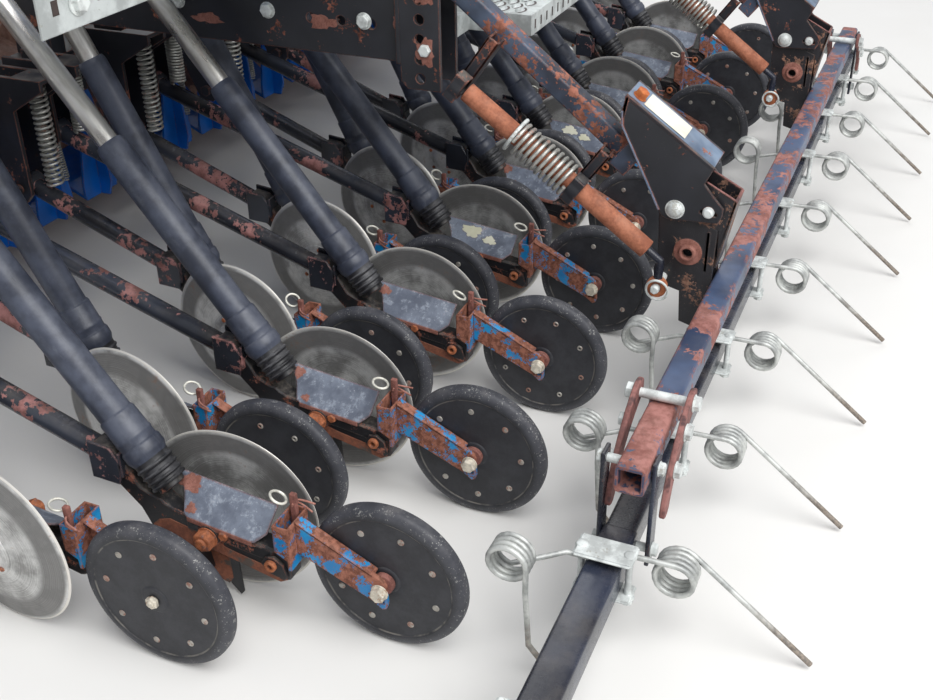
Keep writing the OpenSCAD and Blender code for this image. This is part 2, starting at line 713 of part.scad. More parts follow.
// double tine: front leg, front coil, wire over the bar, rear coil and long rear leg
module tine() {
    zw = bar_z + harrow_w / 2 + wire_d / 2 + 0.2;
    fy = -168;
    ry = -367;
    pitch = wire_d + 1;
    fz = zw + coil_r;
    rz = zw - coil_r;
    step = 36;
    front = [for (i = [0 : 37]) turn(-tine_w + i * pitch * step / 360, fy, fz, coil_r, 180 - i * step - 4)];
    last = 90 + 4 * 360 + 39;
    back = [for (i = [0 : 41]) turn(14 + i * pitch * step / 360, ry, rz, coil_r, 90 + i * (last - 90) / 41)];
    end_x = 14 + 41 * pitch * step / 360;
    tip = [end_x, tip_y + wire_d / 2 * sin(39), 9];
    wire(concat([[-tine_w, fy - coil_r - 34, 18], [-tine_w, fy - coil_r - 6, 52],
        [-tine_w, fy - coil_r, fz - 40]],
        front, [[-34, fy - 30, zw], [-13, bar_y + 52, zw], [-12, bar_y + 22, zw], [12, bar_y - 22, zw],
        [13, bar_y - 52, zw]], back, [tip]), wire_d / 2);
}

module tines() {
    for (i = [0 : 9]) translate([(i - 4.5) * 2 * row_gap + tine_off, 0, 0]) tine();
}

// spring strut of the harrow: tube, collar and bent rod with an eye
module strut() {
    knee = strut_end - 30 * strut_dir;
    eye = [strut_x, ring_y, ring_z];
    rod(strut_end, strut_end + 404 * strut_dir, 17);
    rod(strut_end + 291 * strut_dir, strut_end + 297 * strut_dir, 33);
    rod(knee, strut_end + 5 * strut_dir, 8);
    translate(knee) rotate([0, 90, 0]) sphere(r = 10);
    difference() {
        union() {
            rod(knee, eye + 12 * unit(knee - eye), 8);
            pin(strut_x - 7, strut_x + 7, ring_y, ring_z, 18);
        }
        pin(strut_x - 12, strut_x + 12, ring_y, ring_z, 8 + slip);
    }
}

module strut_left() {
    translate([-link_x, 0, 0]) strut();
}

module strut_right() {
    translate([link_x, 0, 0]) strut();
}

module strut_springs() {
    n = 11;
    e1 = [1, 0, 0];
    e2 = cross(strut_dir, e1);
    s0 = 175;
    s1 = 287;
    for (s = [-1, 1]) translate([s * link_x, 0, 0])
        wire([for (i = [0 : n * 10]) strut_end + (s0 + (s1 - s0) * i / (n * 10)) * strut_dir
            + 27 * (cos(i * 36) * e1 + sin(i * 36) * e2)], 3.5);
}

function crown(r) = rim_x + dish * (1 - pow(r / disc_r, 2));

// dished disc with a hub boss and a cap, turned to its angle
module disc(k) {
    n = 8;
    in_row(k) at_disc() difference() {
        rotate([0, 90, 0]) rotate_extrude($fn = 72) polygon(concat(
            [[0, -7], [24, -7], [24, rim_x + dish - 4]],
            [for (i = [0 : n]) let (r = 26 + (disc_r - 26) * i / n) [r, crown(r) - disc_t / 2]],
            [for (i = [n : -1 : 0]) let (r = 46 + (disc_r - 46) * i / n) [r, crown(r) + disc_t / 2]],
            [[44, rim_x + 22], [38, rim_x + 30], [22, rim_x + 36], [0, rim_x + 38]]));
        rotate([0, 90, 0]) translate([0, 0, -8]) cylinder(h = rim_x + 22, d = disc_axle_d + 2 * slip);
    }
}

// press wheel: rubber tyre with a flat face, a groove line and rounded shoulders
module wheel(k) {
    r = wheel_r;
    a = wheel_in;
    b = wheel_out;
    rise = r * 0.135;
    turn_in = wheel_w * 0.37;
    in_row(k) translate([0, 0, wheel_r]) rotate([0, 90, 0]) rotate_extrude($fn = 96)
        polygon(concat([[axle_d / 2 + slip, a], [20, a], [22, a + 2], [r * 0.85, a + 2], [r * 0.853, a],
            [r * 0.86, a]],
            [for (i = [0 : 15 : 90]) [r - rise + rise * sin(i), a + turn_in * (1 - cos(i))]],
            [for (i = [90 : -15 : 0]) [r - rise + rise * sin(i), b - turn_in * (1 - cos(i))]],
            [[r * 0.86, b], [r * 0.853, b], [r * 0.85, b - 2], [22, b - 2], [20, b], [axle_d / 2 + slip, b]]));
}

color([0.07, 0.07, 0.08]) place() main_frame();
color([0.07, 0.07, 0.08]) place() coulter_beam();
color([0.0, 0.3, 0.62]) place() scrapers();
color([0.75, 0.74, 0.7]) place() scraper_springs();
color([0.5, 0.36, 0.3]) place() roller();
color([0.08, 0.08, 0.09]) place() coulters();
color([0.75, 0.76, 0.76]) place() pressure_springs();
color([0.45, 0.47, 0.53]) place() shields();
color([0.2, 0.45, 0.65]) place() wheel_arms();
color([0.2, 0.22, 0.27]) place() tubes_lower();
color([0.75, 0.74, 0.7]) place() tubes_upper();
color([0.2, 0.2, 0.22]) place() metering();
color([0.1, 0.35, 0.65]) place() hopper();
color([0.1, 0.35, 0.65]) place() hopper_lid();
color([0.72, 0.74, 0.74]) place() walkway();
color([0.2, 0.2, 0.24]) place() harrow_links();
color([0.55, 0.4, 0.38]) place() harrow_beam();
color([0.75, 0.76, 0.76]) place() tine_clamps();
color([0.7, 0.72, 0.72]) place() tines();
color([0.6, 0.36, 0.28]) place() strut_left();
color([0.6, 0.36, 0.28]) place() strut_right();
color([0.75, 0.76, 0.74]) place() strut_springs();
color([0.5, 0.49, 0.46]) place() disc(0);  // disc_01
color([0.5, 0.49, 0.46]) place() disc(1);  // disc_02
color([0.5, 0.49, 0.46]) place() disc(2);  // disc_03
color([0.5, 0.49, 0.46]) place() disc(3);  // disc_04
color([0.5, 0.49, 0.46]) place() disc(4);  // disc_05
color([0.5, 0.49, 0.46]) place() disc(5);  // disc_06
color([0.5, 0.49, 0.46]) place() disc(6);  // disc_07
color([0.5, 0.49, 0.46]) place() disc(7);  // disc_08
color([0.5, 0.49, 0.46]) place() disc(8);  // disc_09
color([0.5, 0.49, 0.46]) place() disc(9);  // disc_10
color([0.5, 0.49, 0.46]) place() disc(10);  // disc_11
color([0.5, 0.49, 0.46]) place() disc(11);  // disc_12
color([0.5, 0.49, 0.46]) place() disc(12);  // disc_13
color([0.5, 0.49, 0.46]) place() disc(13);  // disc_14
color([0.5, 0.49, 0.46]) place() disc(14);  // disc_15
color([0.5, 0.49, 0.46]) place() disc(15);  // disc_16
color([0.5, 0.49, 0.46]) place() disc(16);  // disc_17
color([0.5, 0.49, 0.46]) place() disc(17);  // disc_18
color([0.5, 0.49, 0.46]) place() disc(18);  // disc_19
color([0.06, 0.06, 0.07]) place() wheel(0);  // wheel_01
color([0.06, 0.06, 0.07]) place() wheel(1);  // wheel_02
color([0.06, 0.06, 0.07]) place() wheel(2);  // wheel_03
color([0.06, 0.06, 0.07]) place() wheel(3);  // wheel_04
color([0.06, 0.06, 0.07]) place() wheel(4);  // wheel_05
color([0.06, 0.06, 0.07]) place() wheel(5);  // wheel_06
color([0.06, 0.06, 0.07]) place() wheel(6);  // wheel_07
color([0.06, 0.06, 0.07]) place() wheel(7);  // wheel_08
color([0.06, 0.06, 0.07]) place() wheel(8);  // wheel_09
color([0.06, 0.06, 0.07]) place() wheel(9);  // wheel_10
color([0.06, 0.06, 0.07]) place() wheel(10);  // wheel_11
color([0.06, 0.06, 0.07]) place() wheel(11);  // wheel_12
color([0.06, 0.06, 0.07]) place() wheel(12);  // wheel_13
color([0.06, 0.06, 0.07]) place() wheel(13);  // wheel_14
color([0.06, 0.06, 0.07]) place() wheel(14);  // wheel_15
color([0.06, 0.06, 0.07]) place() wheel(15);  // wheel_16
color([0.06, 0.06, 0.07]) place() wheel(16);  // wheel_17
color([0.06, 0.06, 0.07]) place() wheel(17);  // wheel_18
color([0.06, 0.06, 0.07]) place() wheel(18);  // wheel_19
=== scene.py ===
# %% [markdown]
# A seed drill seen from behind, as a lesson in cells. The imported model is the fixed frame: it
# says where every piece is and what moves with what. This script gives the frame its looks, and
# it never moves or resizes a piece of the frame.

# %% Load the frame
import json
import math

import bmesh
import bpy
import numpy as np
from mathutils import Matrix, Vector


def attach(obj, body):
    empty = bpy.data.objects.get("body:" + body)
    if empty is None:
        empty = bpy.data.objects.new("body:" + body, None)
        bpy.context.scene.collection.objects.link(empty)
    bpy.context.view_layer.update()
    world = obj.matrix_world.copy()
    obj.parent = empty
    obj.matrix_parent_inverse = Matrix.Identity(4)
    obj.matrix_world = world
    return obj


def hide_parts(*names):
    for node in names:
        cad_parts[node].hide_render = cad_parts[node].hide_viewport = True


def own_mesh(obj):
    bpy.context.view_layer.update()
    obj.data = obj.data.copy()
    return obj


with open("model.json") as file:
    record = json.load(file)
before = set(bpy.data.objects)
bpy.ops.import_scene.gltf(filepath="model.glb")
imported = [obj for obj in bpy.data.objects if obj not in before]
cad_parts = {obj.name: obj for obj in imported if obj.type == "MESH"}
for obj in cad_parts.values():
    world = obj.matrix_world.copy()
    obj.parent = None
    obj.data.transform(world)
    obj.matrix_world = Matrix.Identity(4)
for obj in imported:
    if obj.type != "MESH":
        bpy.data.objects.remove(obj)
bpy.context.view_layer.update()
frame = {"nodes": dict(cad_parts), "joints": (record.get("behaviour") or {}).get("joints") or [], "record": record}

# %% [markdown]
# Sizes are written in millimetres, as on a workshop drawing, and turned into metres when a mesh
# is made. Every row of the drill is alike: its wheel axle is a joint of the frame, so the
# joints say where the rows are. They could be typed in again, but then a change of the frame
# would leave the looks behind. The front row is the mirror image of the rear row. A row's own
# frame has its origin on the floor under the wheel axle, with +Y the way the drill travels.

# %% Places taken from the frame
MM = 0.001
JOINT = {joint["name"]: Vector(joint["pos_m"]) / MM for joint in frame["joints"]}
ROWS = range(sum(name.startswith("wheel_turn") for name in JOINT))
REAR_Y = JOINT["wheel_turn_02"].y
HOME = Matrix.Translation((0, REAR_Y, 0))
WHEEL_R = JOINT["wheel_turn_02"].z
DISC_Z = JOINT["disc_turn_02"].z
DISC_AHEAD = JOINT["disc_turn_02"].y - JOINT["wheel_turn_02"].y
DISC_OFF_FLOOR = 2
DISC_R = DISC_Z - DISC_OFF_FLOOR
DISC_TOE = 5
FRONT_STEP = JOINT["wheel_turn_01"].y - JOINT["wheel_turn_02"].y


def is_rear(k):
    """Whether row k is one of the rear row."""
    return k % 2 == 1


def row_step(k):
    """How far row k stands ahead of the rear row."""
    return 0 if is_rear(k) else FRONT_STEP


def row(k):
    """The place of row k: on the floor under its wheel axle, mirrored for the front row."""
    axle = JOINT[f"wheel_turn_{k + 1:02d}"]
    flip = 1 if is_rear(k) else -1
    return Matrix.Translation((axle.x, axle.y, 0)) @ Matrix.Diagonal((flip, 1, 1, 1))


def at_disc():
    """The place of a disc in its row: on its axle, turned to its working angle."""
    toe = Matrix.Rotation(math.radians(DISC_TOE), 4, "Z")
    return Matrix.Translation((0, DISC_AHEAD, DISC_Z)) @ toe


ROW_GAP = JOINT["wheel_turn_03"].x - JOINT["wheel_turn_02"].x
print(len(ROWS), "rows,", round(ROW_GAP, 1), "mm apart, wheels of", round(2 * WHEEL_R), "mm")

# %% [markdown]
# A Form is a shape on its way to becoming a mesh: corners, faces, a material number for each
# face, and one mark for each corner. A mark is a number that a finish can follow, such as the
# distance from a disc's axle. Objects could be joined with operators instead, but plain lists
# are quicker. Forms can be moved, mirrored and added, so a row's pieces are drawn once and set
# down nineteen times.


# %% Forms
class Form:
    """Corners in millimetres, faces, a material number per face and a mark per corner."""

    def __init__(self, corners=(), faces=(), mat=0, marks=None):
        self.corners = np.array(corners, float).reshape(-1, 3)
        self.faces = [tuple(f) for f in faces]
        self.mats = [mat] * len(self.faces) if isinstance(mat, int) else list(mat)
        self.marks = np.zeros(len(self.corners)) if marks is None else np.array(marks, float)

    def moved(self, place):
        """The same form in another place; a mirrored one gets its faces turned round."""
        m = np.array(place)
        made = Form(self.corners @ m[:3, :3].T + m[:3, 3], self.faces, self.mats, self.marks)
        if np.linalg.det(m[:3, :3]) < 0:
            made.faces = [f[::-1] for f in made.faces]
        return made

    def painted(self, mat):
        """The same form with another material number."""
        return Form(self.corners, self.faces, mat, self.marks)


def joined(forms):
    """One form out of many."""
    forms = [f for f in forms if len(f.faces)]
    whole = Form()
    whole.corners = np.concatenate([f.corners for f in forms])
    whole.marks = np.concatenate([f.marks for f in forms])
    start = 0
    for f in forms:
        whole.faces += [tuple(i + start for i in face) for face in f.faces]
        whole.mats += f.mats
        start += len(f.corners)
    return whole


print("a form has corners, faces, material numbers and marks")

# %% [markdown]
# Nearly all of the drill is cut sheet, turned parts, boxes and bent bar. So there is one maker
# for each: a lathe turns a profile about X, plate and cut_plate give an outline its thickness,
# block makes a box and sweep leads a round bar along a line. Sharp edges get a small bevel,
# because real steel has no perfect edges and the bevel is what catches the light.


# %% Form makers
def from_bmesh(bm):
    """Takes the corners and faces out of a bmesh and frees it."""
    bm.verts.index_update()
    made = Form([v.co[:] for v in bm.verts], [[v.index for v in f.verts] for f in bm.faces])
    bm.free()
    return made


ON_AXIS = 1e-6


def lathe(profile, sides=48):
    """A shape turned about the X axis. The profile is a closed or open list of (radius, x)."""
    ring = len(profile)
    corners = []
    for i in range(sides):
        a = 2 * math.pi * i / sides
        corners += [(x, r * math.sin(a), r * math.cos(a)) for r, x in profile]
    faces = []
    for i in range(sides):
        j = (i + 1) % sides
        for p in range(ring - 1):
            quad = (i * ring + p, i * ring + p + 1, j * ring + p + 1, j * ring + p)
            if profile[p][0] < ON_AXIS:
                quad = quad[:3]
            elif profile[p + 1][0] < ON_AXIS:
                quad = (quad[0], quad[1], quad[3])
            faces.append(quad)
    bm = bmesh.new()
    verts = [bm.verts.new(c) for c in corners]
    for f in faces:
        bm.faces.new([verts[n] for n in f])
    bmesh.ops.remove_doubles(bm, verts=bm.verts, dist=1e-4)
    bmesh.ops.recalc_face_normals(bm, faces=bm.faces)
    made = from_bmesh(bm)
    made.marks = np.hypot(made.corners[:, 1], made.corners[:, 2])
    return made


SHARP_EDGE = math.radians(25)


def softened(bm, edge, segments=1):
    """Rounds the sharp edges of a bmesh by a small bevel and returns the form."""
    bmesh.ops.recalc_face_normals(bm, faces=bm.faces)
    if edge:
        edges = [e for e in bm.edges if len(e.link_faces) == 2 and e.calc_face_angle() > SHARP_EDGE]
        bmesh.ops.bevel(bm, geom=edges, offset=edge, segments=segments, affect="EDGES",
            clamp_overlap=True)
    return from_bmesh(bm)


def thickened(corners, way):
    """A bmesh of one face that is pulled out along a way into a slab."""
    bm = bmesh.new()
    face = bm.faces.new([bm.verts.new(c) for c in corners])
    grown = bmesh.ops.extrude_face_region(bm, geom=[face])
    moved = [v for v in grown["geom"] if isinstance(v, bmesh.types.BMVert)]
    bmesh.ops.translate(bm, verts=moved, vec=way)
    return bm


def plate(outline, x0, x1, edge=0.8):
    """A plate whose outline is drawn in (y, z), from x0 to x1."""
    return softened(thickened([(x0, y, z) for y, z in outline], (x1 - x0, 0, 0)), edge)


def block(x0, x1, y0, y1, z0, z1, edge=0.8, segments=1):
    """A box with softened edges."""
    bm = bmesh.new()
    bmesh.ops.create_cube(bm, size=1)
    for v in bm.verts:
        v.co = ((x0, x1)[v.co.x > 0], (y0, y1)[v.co.y > 0], (z0, z1)[v.co.z > 0])
    return softened(bm, edge, segments)


def blot(u, v, wide, high, seed, n=30):
    """An uneven rounded outline about (u, v), for patches of rust or of old glue."""
    outline = []
    for i in range(n):
        a = 2 * math.pi * i / n
        r = 0.78 + 0.13 * math.sin(3 * a + seed)
        r += 0.09 * math.sin(7 * a + 2.3 * seed)
        r += 0.06 * math.sin(11 * a + 5 * seed)
        outline.append((u + wide * r * math.cos(a), v + high * r * math.sin(a)))
    return outline


SIXTEENTHS = [t * math.pi / 8 for t in range(16)]


def cut_plate(outline, holes, thick, edge=0.6):
    """A plate drawn in its own X and Y; a hole is a ring of points or (x, y, radius)."""
    curve = bpy.data.curves.new("cut", "CURVE")
    curve.dimensions = "2D"
    curve.fill_mode = "BOTH"
    curve.extrude = thick / 2 - edge
    curve.bevel_depth = edge
    curve.bevel_resolution = 0
    curve.offset = -edge
    rings = [outline]
    for hole in holes:
        if len(hole) == 3:
            x, y, r = hole
            hole = [(x + r * math.cos(a), y + r * math.sin(a)) for a in SIXTEENTHS]
        rings.append(hole)
    for ring in rings:
        spline = curve.splines.new("POLY")
        spline.points.add(len(ring) - 1)
        spline.use_cyclic_u = True
        for point, (x, y) in zip(spline.points, ring):
            point.co = (x, y, 0, 1)
    holder = bpy.data.objects.new("cut", curve)
    mesh = bpy.data.meshes.new_from_object(holder)
    bm = bmesh.new()
    bm.from_mesh(mesh)
    bmesh.ops.remove_doubles(bm, verts=bm.verts, dist=1e-3)
    bmesh.ops.recalc_face_normals(bm, faces=bm.faces)
    bpy.data.objects.remove(holder)
    bpy.data.curves.remove(curve)
    bpy.data.meshes.remove(mesh)
    return from_bmesh(bm)


print("lathe, plate, block and cut_plate are ready")

# %% [markdown]
# The rest is round: bars between two points, wires that follow a line, and bolts. A curve with
# a bevel could make the wires, but it turns the wire's section as it likes; here each step
# keeps the last step's side, so that a coil isn't twisted. A bolt head is a lathe with six
# sides.


# %% Bars, wires and bolt heads
def smooth_line(points, steps):
    """A rounded line through the given points (Catmull-Rom)."""
    p = [Vector(q) for q in points]
    p = [2 * p[0] - p[1]] + p + [2 * p[-1] - p[-2]]
    line = []
    for i in range(1, len(p) - 2):
        for s in range(steps):
            t = s / steps
            line.append(0.5 * (2 * p[i] + (p[i + 1] - p[i - 1]) * t
                + (2 * p[i - 1] - 5 * p[i] + 4 * p[i + 1] - p[i + 2]) * t * t
                + (3 * p[i] - p[i - 1] - 3 * p[i + 1] + p[i + 2]) * t ** 3))
    return line + [p[-2]]


def sweep(line, r, sides):
    """A round bar or wire of radius r that follows a line, closed at both ends."""
    p = [Vector(q) for q in line]
    n = len(p)
    tangents = [(p[min(i + 1, n - 1)] - p[max(i - 1, 0)]).normalized() for i in range(n)]
    start = Vector((0, 0, 1)) if abs(tangents[0].z) < 0.9 else Vector((1, 0, 0))
    side = tangents[0].cross(start).normalized()
    corners, faces, marks, run = [], [], [], 0.0
    for i in range(n):
        side = (side - tangents[i] * side.dot(tangents[i])).normalized()
        up = tangents[i].cross(side)
        run += (p[i] - p[i - 1]).length if i else 0.0
        for j in range(sides):
            a = 2 * math.pi * j / sides
            corners.append(p[i] + r * (math.cos(a) * side + math.sin(a) * up))
            marks.append(run)
    for i in range(n - 1):
        for j in range(sides):
            k = (j + 1) % sides
            faces.append((i * sides + j, i * sides + k, (i + 1) * sides + k, (i + 1) * sides + j))
    faces.append(tuple(range(sides - 1, -1, -1)))
    faces.append(tuple((n - 1) * sides + j for j in range(sides)))
    return Form([c[:] for c in corners], faces, 0, marks)


def along(p, q):
    """The place of a shape drawn along +X from the origin, laid on the line from p to q."""
    d = Vector(q) - Vector(p)
    return Matrix.Translation(Vector(p)) @ d.to_track_quat("X", "Z").to_matrix().to_4x4()


def bar(p, q, r, sides=24, edge=1.0):
    """A round bar from p to q with softened ends."""
    length = (Vector(q) - Vector(p)).length
    far = length - edge
    profile = [(0, 0), (r - edge, 0), (r, edge), (r, far), (r - edge, length), (0, length)]
    made = lathe(profile, sides)
    made.marks = made.corners[:, 0].copy()
    return made.moved(along(p, q))


def hexagon(size, high, washer=0.0):
    """A bolt head, `size` across its flats, on the origin along +X, perhaps with a washer."""
    r = size / 2 / math.cos(math.pi / 6)
    low = 1.6 if washer else 0.0
    top = low + high
    head = lathe([(0, low), (r * 0.97, low), (r, low + 0.6), (r, top - 1.2), (r * 0.86, top),
        (0, top)], 6)
    if not washer:
        return head
    rim = washer - 0.4
    under = lathe([(0, 0), (rim, 0), (washer, 0.4), (washer, 1.4), (rim, 1.8), (0, 1.8)], 20)
    return joined([head, under])


print("sweep, bar and hexagon are ready")

# %% [markdown]
# A finish is a procedural material. Its sums could be wired by hand in the shader editor, node
# by node. Here they are written as Python expressions, which are easier to read: the class
# Number wraps a socket, and each operator on it adds one Math node.


# %% Numbers that change over a surface
class Number:
    """A value that may change over the surface."""

    def __init__(self, finish, socket):
        self.finish, self.socket = finish, socket

    def math(self, operation, first, second):
        """The result of one Math node."""
        node = self.finish.node("ShaderNodeMath", {"operation": operation}, {0: first, 1: second})
        return Number(self.finish, node.outputs[0])

    def __add__(self, other):
        return self.math("ADD", self, other)

    def __sub__(self, other):
        return self.math("SUBTRACT", self, other)

    def __mul__(self, other):
        return self.math("MULTIPLY", self, other)

    def __rsub__(self, other):
        return self.math("SUBTRACT", other, self)

    def __truediv__(self, other):
        return self.math("DIVIDE", self, other)

    __radd__ = __add__
    __rmul__ = __mul__

    def at_most(self, other):
        """The smaller of the two."""
        return self.math("MINIMUM", self, other)

    def step(self, low, high):
        """0 below low, 1 above high and a soft rise between."""
        node = self.finish.node("ShaderNodeMapRange", {"interpolation_type": "SMOOTHSTEP"},
            {"Value": self, "From Min": low, "From Max": high})
        return Number(self.finish, node.outputs[0])


def linear(red, green, blue):
    """A colour as read off a screen, 0 to 255, turned into the linear values that shaders use."""
    parts = [c / 255 for c in (red, green, blue)]
    curved = [c / 12.92 if c <= 0.04045 else ((c + 0.055) / 1.055) ** 2.4 for c in parts]
    return (*curved, 1.0)


def times(colour, factor):
    """A paler or a deeper shade of a colour."""
    return (*(min(1.0, c * factor) for c in colour[:3]), 1.0)


print("numbers are ready; plain white is", linear(255, 255, 255))

# %% [markdown]
# A Finish is one material. It holds the patterns that the recipes below share: cloudy noise,
# scattered cells, the mark of a piece, the height over the floor and the edges. The edges come
# from a Bevel node: its rounded normal leaves the true one only near an edge, which is just
# where paint wears off first.

# %% Finishes
FINISH = {}


class Finish:
    """One material and the nodes in it."""

    def __init__(self, name):
        self.name = name
        self.material = bpy.data.materials.new(name)
        self.material.use_nodes = True
        self.tree = self.material.node_tree
        self.tree.nodes.clear()
        self.shader = self.tree.nodes.new("ShaderNodeBsdfPrincipled")
        out = self.tree.nodes.new("ShaderNodeOutputMaterial")
        self.tree.links.new(self.shader.outputs[0], out.inputs[0])
        self.coords = self.node("ShaderNodeTexCoord").outputs["Object"]
        self.geometry = self.node("ShaderNodeNewGeometry")

    def node(self, kind, settings=None, inputs=None):
        """Adds a node: its type, its settings, then the values or links of its sockets."""
        made = self.tree.nodes.new(kind)
        for key, value in (settings or {}).items():
            setattr(made, key, value)
        for key, value in (inputs or {}).items():
            self.feed(made, key, value)
        return made

    def feed(self, node, key, value):
        """Sets or links one socket, found by its name, identifier or number."""
        if isinstance(key, int):
            socket = node.inputs[key]
        else:
            socket = next(s for s in node.inputs if key in (s.identifier, s.name) and s.enabled)
        if isinstance(value, Number):
            value = value.socket
        if isinstance(value, bpy.types.NodeSocket):
            self.tree.links.new(value, socket)
        else:
            socket.default_value = value

    def noise(self, scale, detail=4.0, rough=0.55, stretch=None):
        """Cloudy noise about 0.5; scale is in waves per metre."""
        where = self.coords
        if stretch:
            where = self.node("ShaderNodeMapping", {},
                {"Vector": where, "Scale": stretch}).outputs[0]
        made = self.node("ShaderNodeTexNoise", {},
            {"Vector": where, "Scale": scale, "Detail": detail, "Roughness": rough})
        return Number(self, made.outputs[0])

    def cells(self, scale):
        """Distance to the nearest of scattered points, for specks and grit."""
        made = self.node("ShaderNodeTexVoronoi", {}, {"Vector": self.coords, "Scale": scale})
        return Number(self, made.outputs["Distance"])

    def mark(self):
        """The piece's own mark, such as a radius or the run along a wire, in metres."""
        made = self.node("ShaderNodeAttribute", {"attribute_name": "mark"})
        return Number(self, made.outputs["Fac"])

    def height(self):
        """The height over the floor in metres."""
        made = self.node("ShaderNodeSeparateXYZ", {}, {0: self.coords})
        return Number(self, made.outputs[2])

    def facing_up(self):
        """1 on surfaces that look up, 0 on upright ones."""
        made = self.node("ShaderNodeSeparateXYZ", {}, {0: self.geometry.outputs["Normal"]})
        return Number(self, made.outputs[2])

    def edges(self, reach=0.003):
        """High near the edges of a piece: there a rounded normal leaves the true one."""
        self.round = self.node("ShaderNodeBevel", {"samples": 4}, {"Radius": reach}).outputs[0]
        made = self.node("ShaderNodeVectorMath", {"operation": "DOT_PRODUCT"},
            {0: self.round, 1: self.geometry.outputs["True Normal"]})
        return 1 - Number(self, made.outputs["Value"])

    def mix(self, share, one, two):
        """A colour between one and two."""
        made = self.node("ShaderNodeMix", {"data_type": "RGBA"},
            {"Factor_Float": share, "A_Color": one, "B_Color": two})
        return next(s for s in made.outputs if s.identifier == "Result_Color")

    def bump(self, height, strength=0.4, distance=0.0006):
        """Raises the surface by a pattern, on top of the rounded edges where there are any."""
        inputs = {"Height": height, "Strength": strength, "Distance": distance}
        if getattr(self, "round", None):
            inputs["Normal"] = self.round
        self.feed(self.shader, "Normal", self.node("ShaderNodeBump", {}, inputs).outputs[0])

    def done(self, colour, rough=0.5, metal=0.0):
        """Feeds the shader, keeps the material under its name and returns it."""
        self.feed(self.shader, "Base Color", colour)
        self.feed(self.shader, "Roughness", rough)
        self.feed(self.shader, "Metallic", metal)
        FINISH[self.name] = self.material
        return self.material


print("the patterns of a finish are ready")

# %% [markdown]
# The drill has stood outdoors. Paint goes first along edges and in blots, and the bare steel
# rusts there; dust and dried mud lie on what faces up. Painted pictures could show that, but
# they need unwrapping and don't scale. So one recipe covers all the painted steel: a mask out
# of two sizes of noise and the edges tells paint from rust, and a second one lays the dust.

# %% Weathered paint
RUST_DARK = linear(84, 50, 42)
RUST_LIGHT = linear(158, 98, 78)
DUST = linear(150, 141, 130)


def weathered(name, paint, amount=0.42, patch=22.0, edge_pull=2.5, gloss=0.38, dust=0.35,
        rust=(RUST_DARK, RUST_LIGHT), paint_two=None, specks=0.0):
    """Paint over steel that rusts in blots and along its edges, under dust.

    amount is the share of rust, patch the number of blots in a metre, edge_pull how far rust
    follows the edges; paint_two mottles the paint and specks are splashes of dried mud.
    """
    f = Finish(name)
    blots, grain = f.noise(patch, 6.0, 0.6), f.noise(patch * 9, 4.0, 0.65)
    edge = f.edges(0.0035).at_most(0.25)
    level = (blots - 0.5) * 1.7 + (grain - 0.5) * 0.8 + edge * edge_pull + (amount - 0.62)
    rusty = level.step(0.0, 0.045)
    tone = f.noise(patch * 3.1, 5.0, 0.7)
    steel = f.mix(tone.step(0.36, 0.64), rust[0], rust[1])
    coat = f.mix(f.noise(patch * 0.6, 3.0).step(0.35, 0.65), paint, paint_two or times(paint, 1.5))
    colour = f.mix(rusty, coat, steel)
    if specks:
        chips = (1 - f.cells(patch * 22)).step(0.93 - specks * 0.1, 0.985)
        colour = f.mix(chips * f.noise(patch * 2).step(0.45, 0.6), colour, DUST)
    lies = f.facing_up().step(0.15, 0.95) * f.noise(patch * 1.3, 6.0, 0.7).step(0.38, 0.72) * dust
    colour = f.mix(lies, colour, DUST)
    f.bump(rusty * 0.5 + grain * 0.6 * (0.3 + rusty), 0.5, 0.0008)
    rough = rusty * (0.86 - gloss) + lies * 0.3 + gloss + (grain - 0.5) * 0.2
    return f.done(colour, rough.at_most(0.95))


def rusty_steel(name, dark, light, patch=30.0, dust=0.25, shine=0.0, third=None):
    """Bare steel with rust all over, mottled between two or three tones."""
    f = Finish(name)
    f.edges(0.003)
    broad, grain = f.noise(patch, 6.0, 0.65), f.noise(patch * 7, 5.0, 0.7)
    colour = f.mix((broad * 0.6 + grain * 0.4).step(0.38, 0.62), dark, light)
    if third:
        colour = f.mix(f.noise(patch * 1.7, 3.0).step(0.55, 0.66), colour, third)
    lies = f.facing_up().step(0.1, 0.95) * f.noise(patch * 1.1, 6.0, 0.7).step(0.4, 0.7) * dust
    f.bump(grain, 0.45, 0.0008)
    return f.done(f.mix(lies, colour, DUST), 0.82 - shine * 0.4 + (grain - 0.5) * 0.25, shine)


def plated(name, colour, dull=0.5, stain=0.3, stain_colour=None, patch=60.0, metal=0.75):
    """Zinc or galvanised steel: mottled grey, dull in places, with a stain of rust or dirt."""
    f = Finish(name)
    f.edges(0.002)
    broad, grain = f.noise(patch, 5.0, 0.6), f.noise(patch * 6, 3.0, 0.6)
    shade = f.mix(broad.step(0.38, 0.62), times(colour, 0.78), times(colour, 1.18))
    dirty = f.noise(patch * 0.45, 6.0, 0.7) + (grain - 0.5) * 0.4
    dirty = dirty.step(0.66 - stain * 0.3, 0.72 - stain * 0.2)
    f.bump(grain, 0.25, 0.0004)
    return f.done(f.mix(dirty * 0.8, shade, stain_colour or RUST_LIGHT),
        (grain - 0.5) * 0.3 + dull + dirty * 0.25, metal * (1 - dirty))


print("recipes for paint, rust and zinc are ready")

# %% [markdown]
# Each finish of the drill is one call of a recipe with its own colours, share of rust and size
# of blots: the coulter arms have lost most of their blue, the hopper is nearly whole, and the
# drawbars are worn bare in long blots. Colours are written as they are seen on a screen.

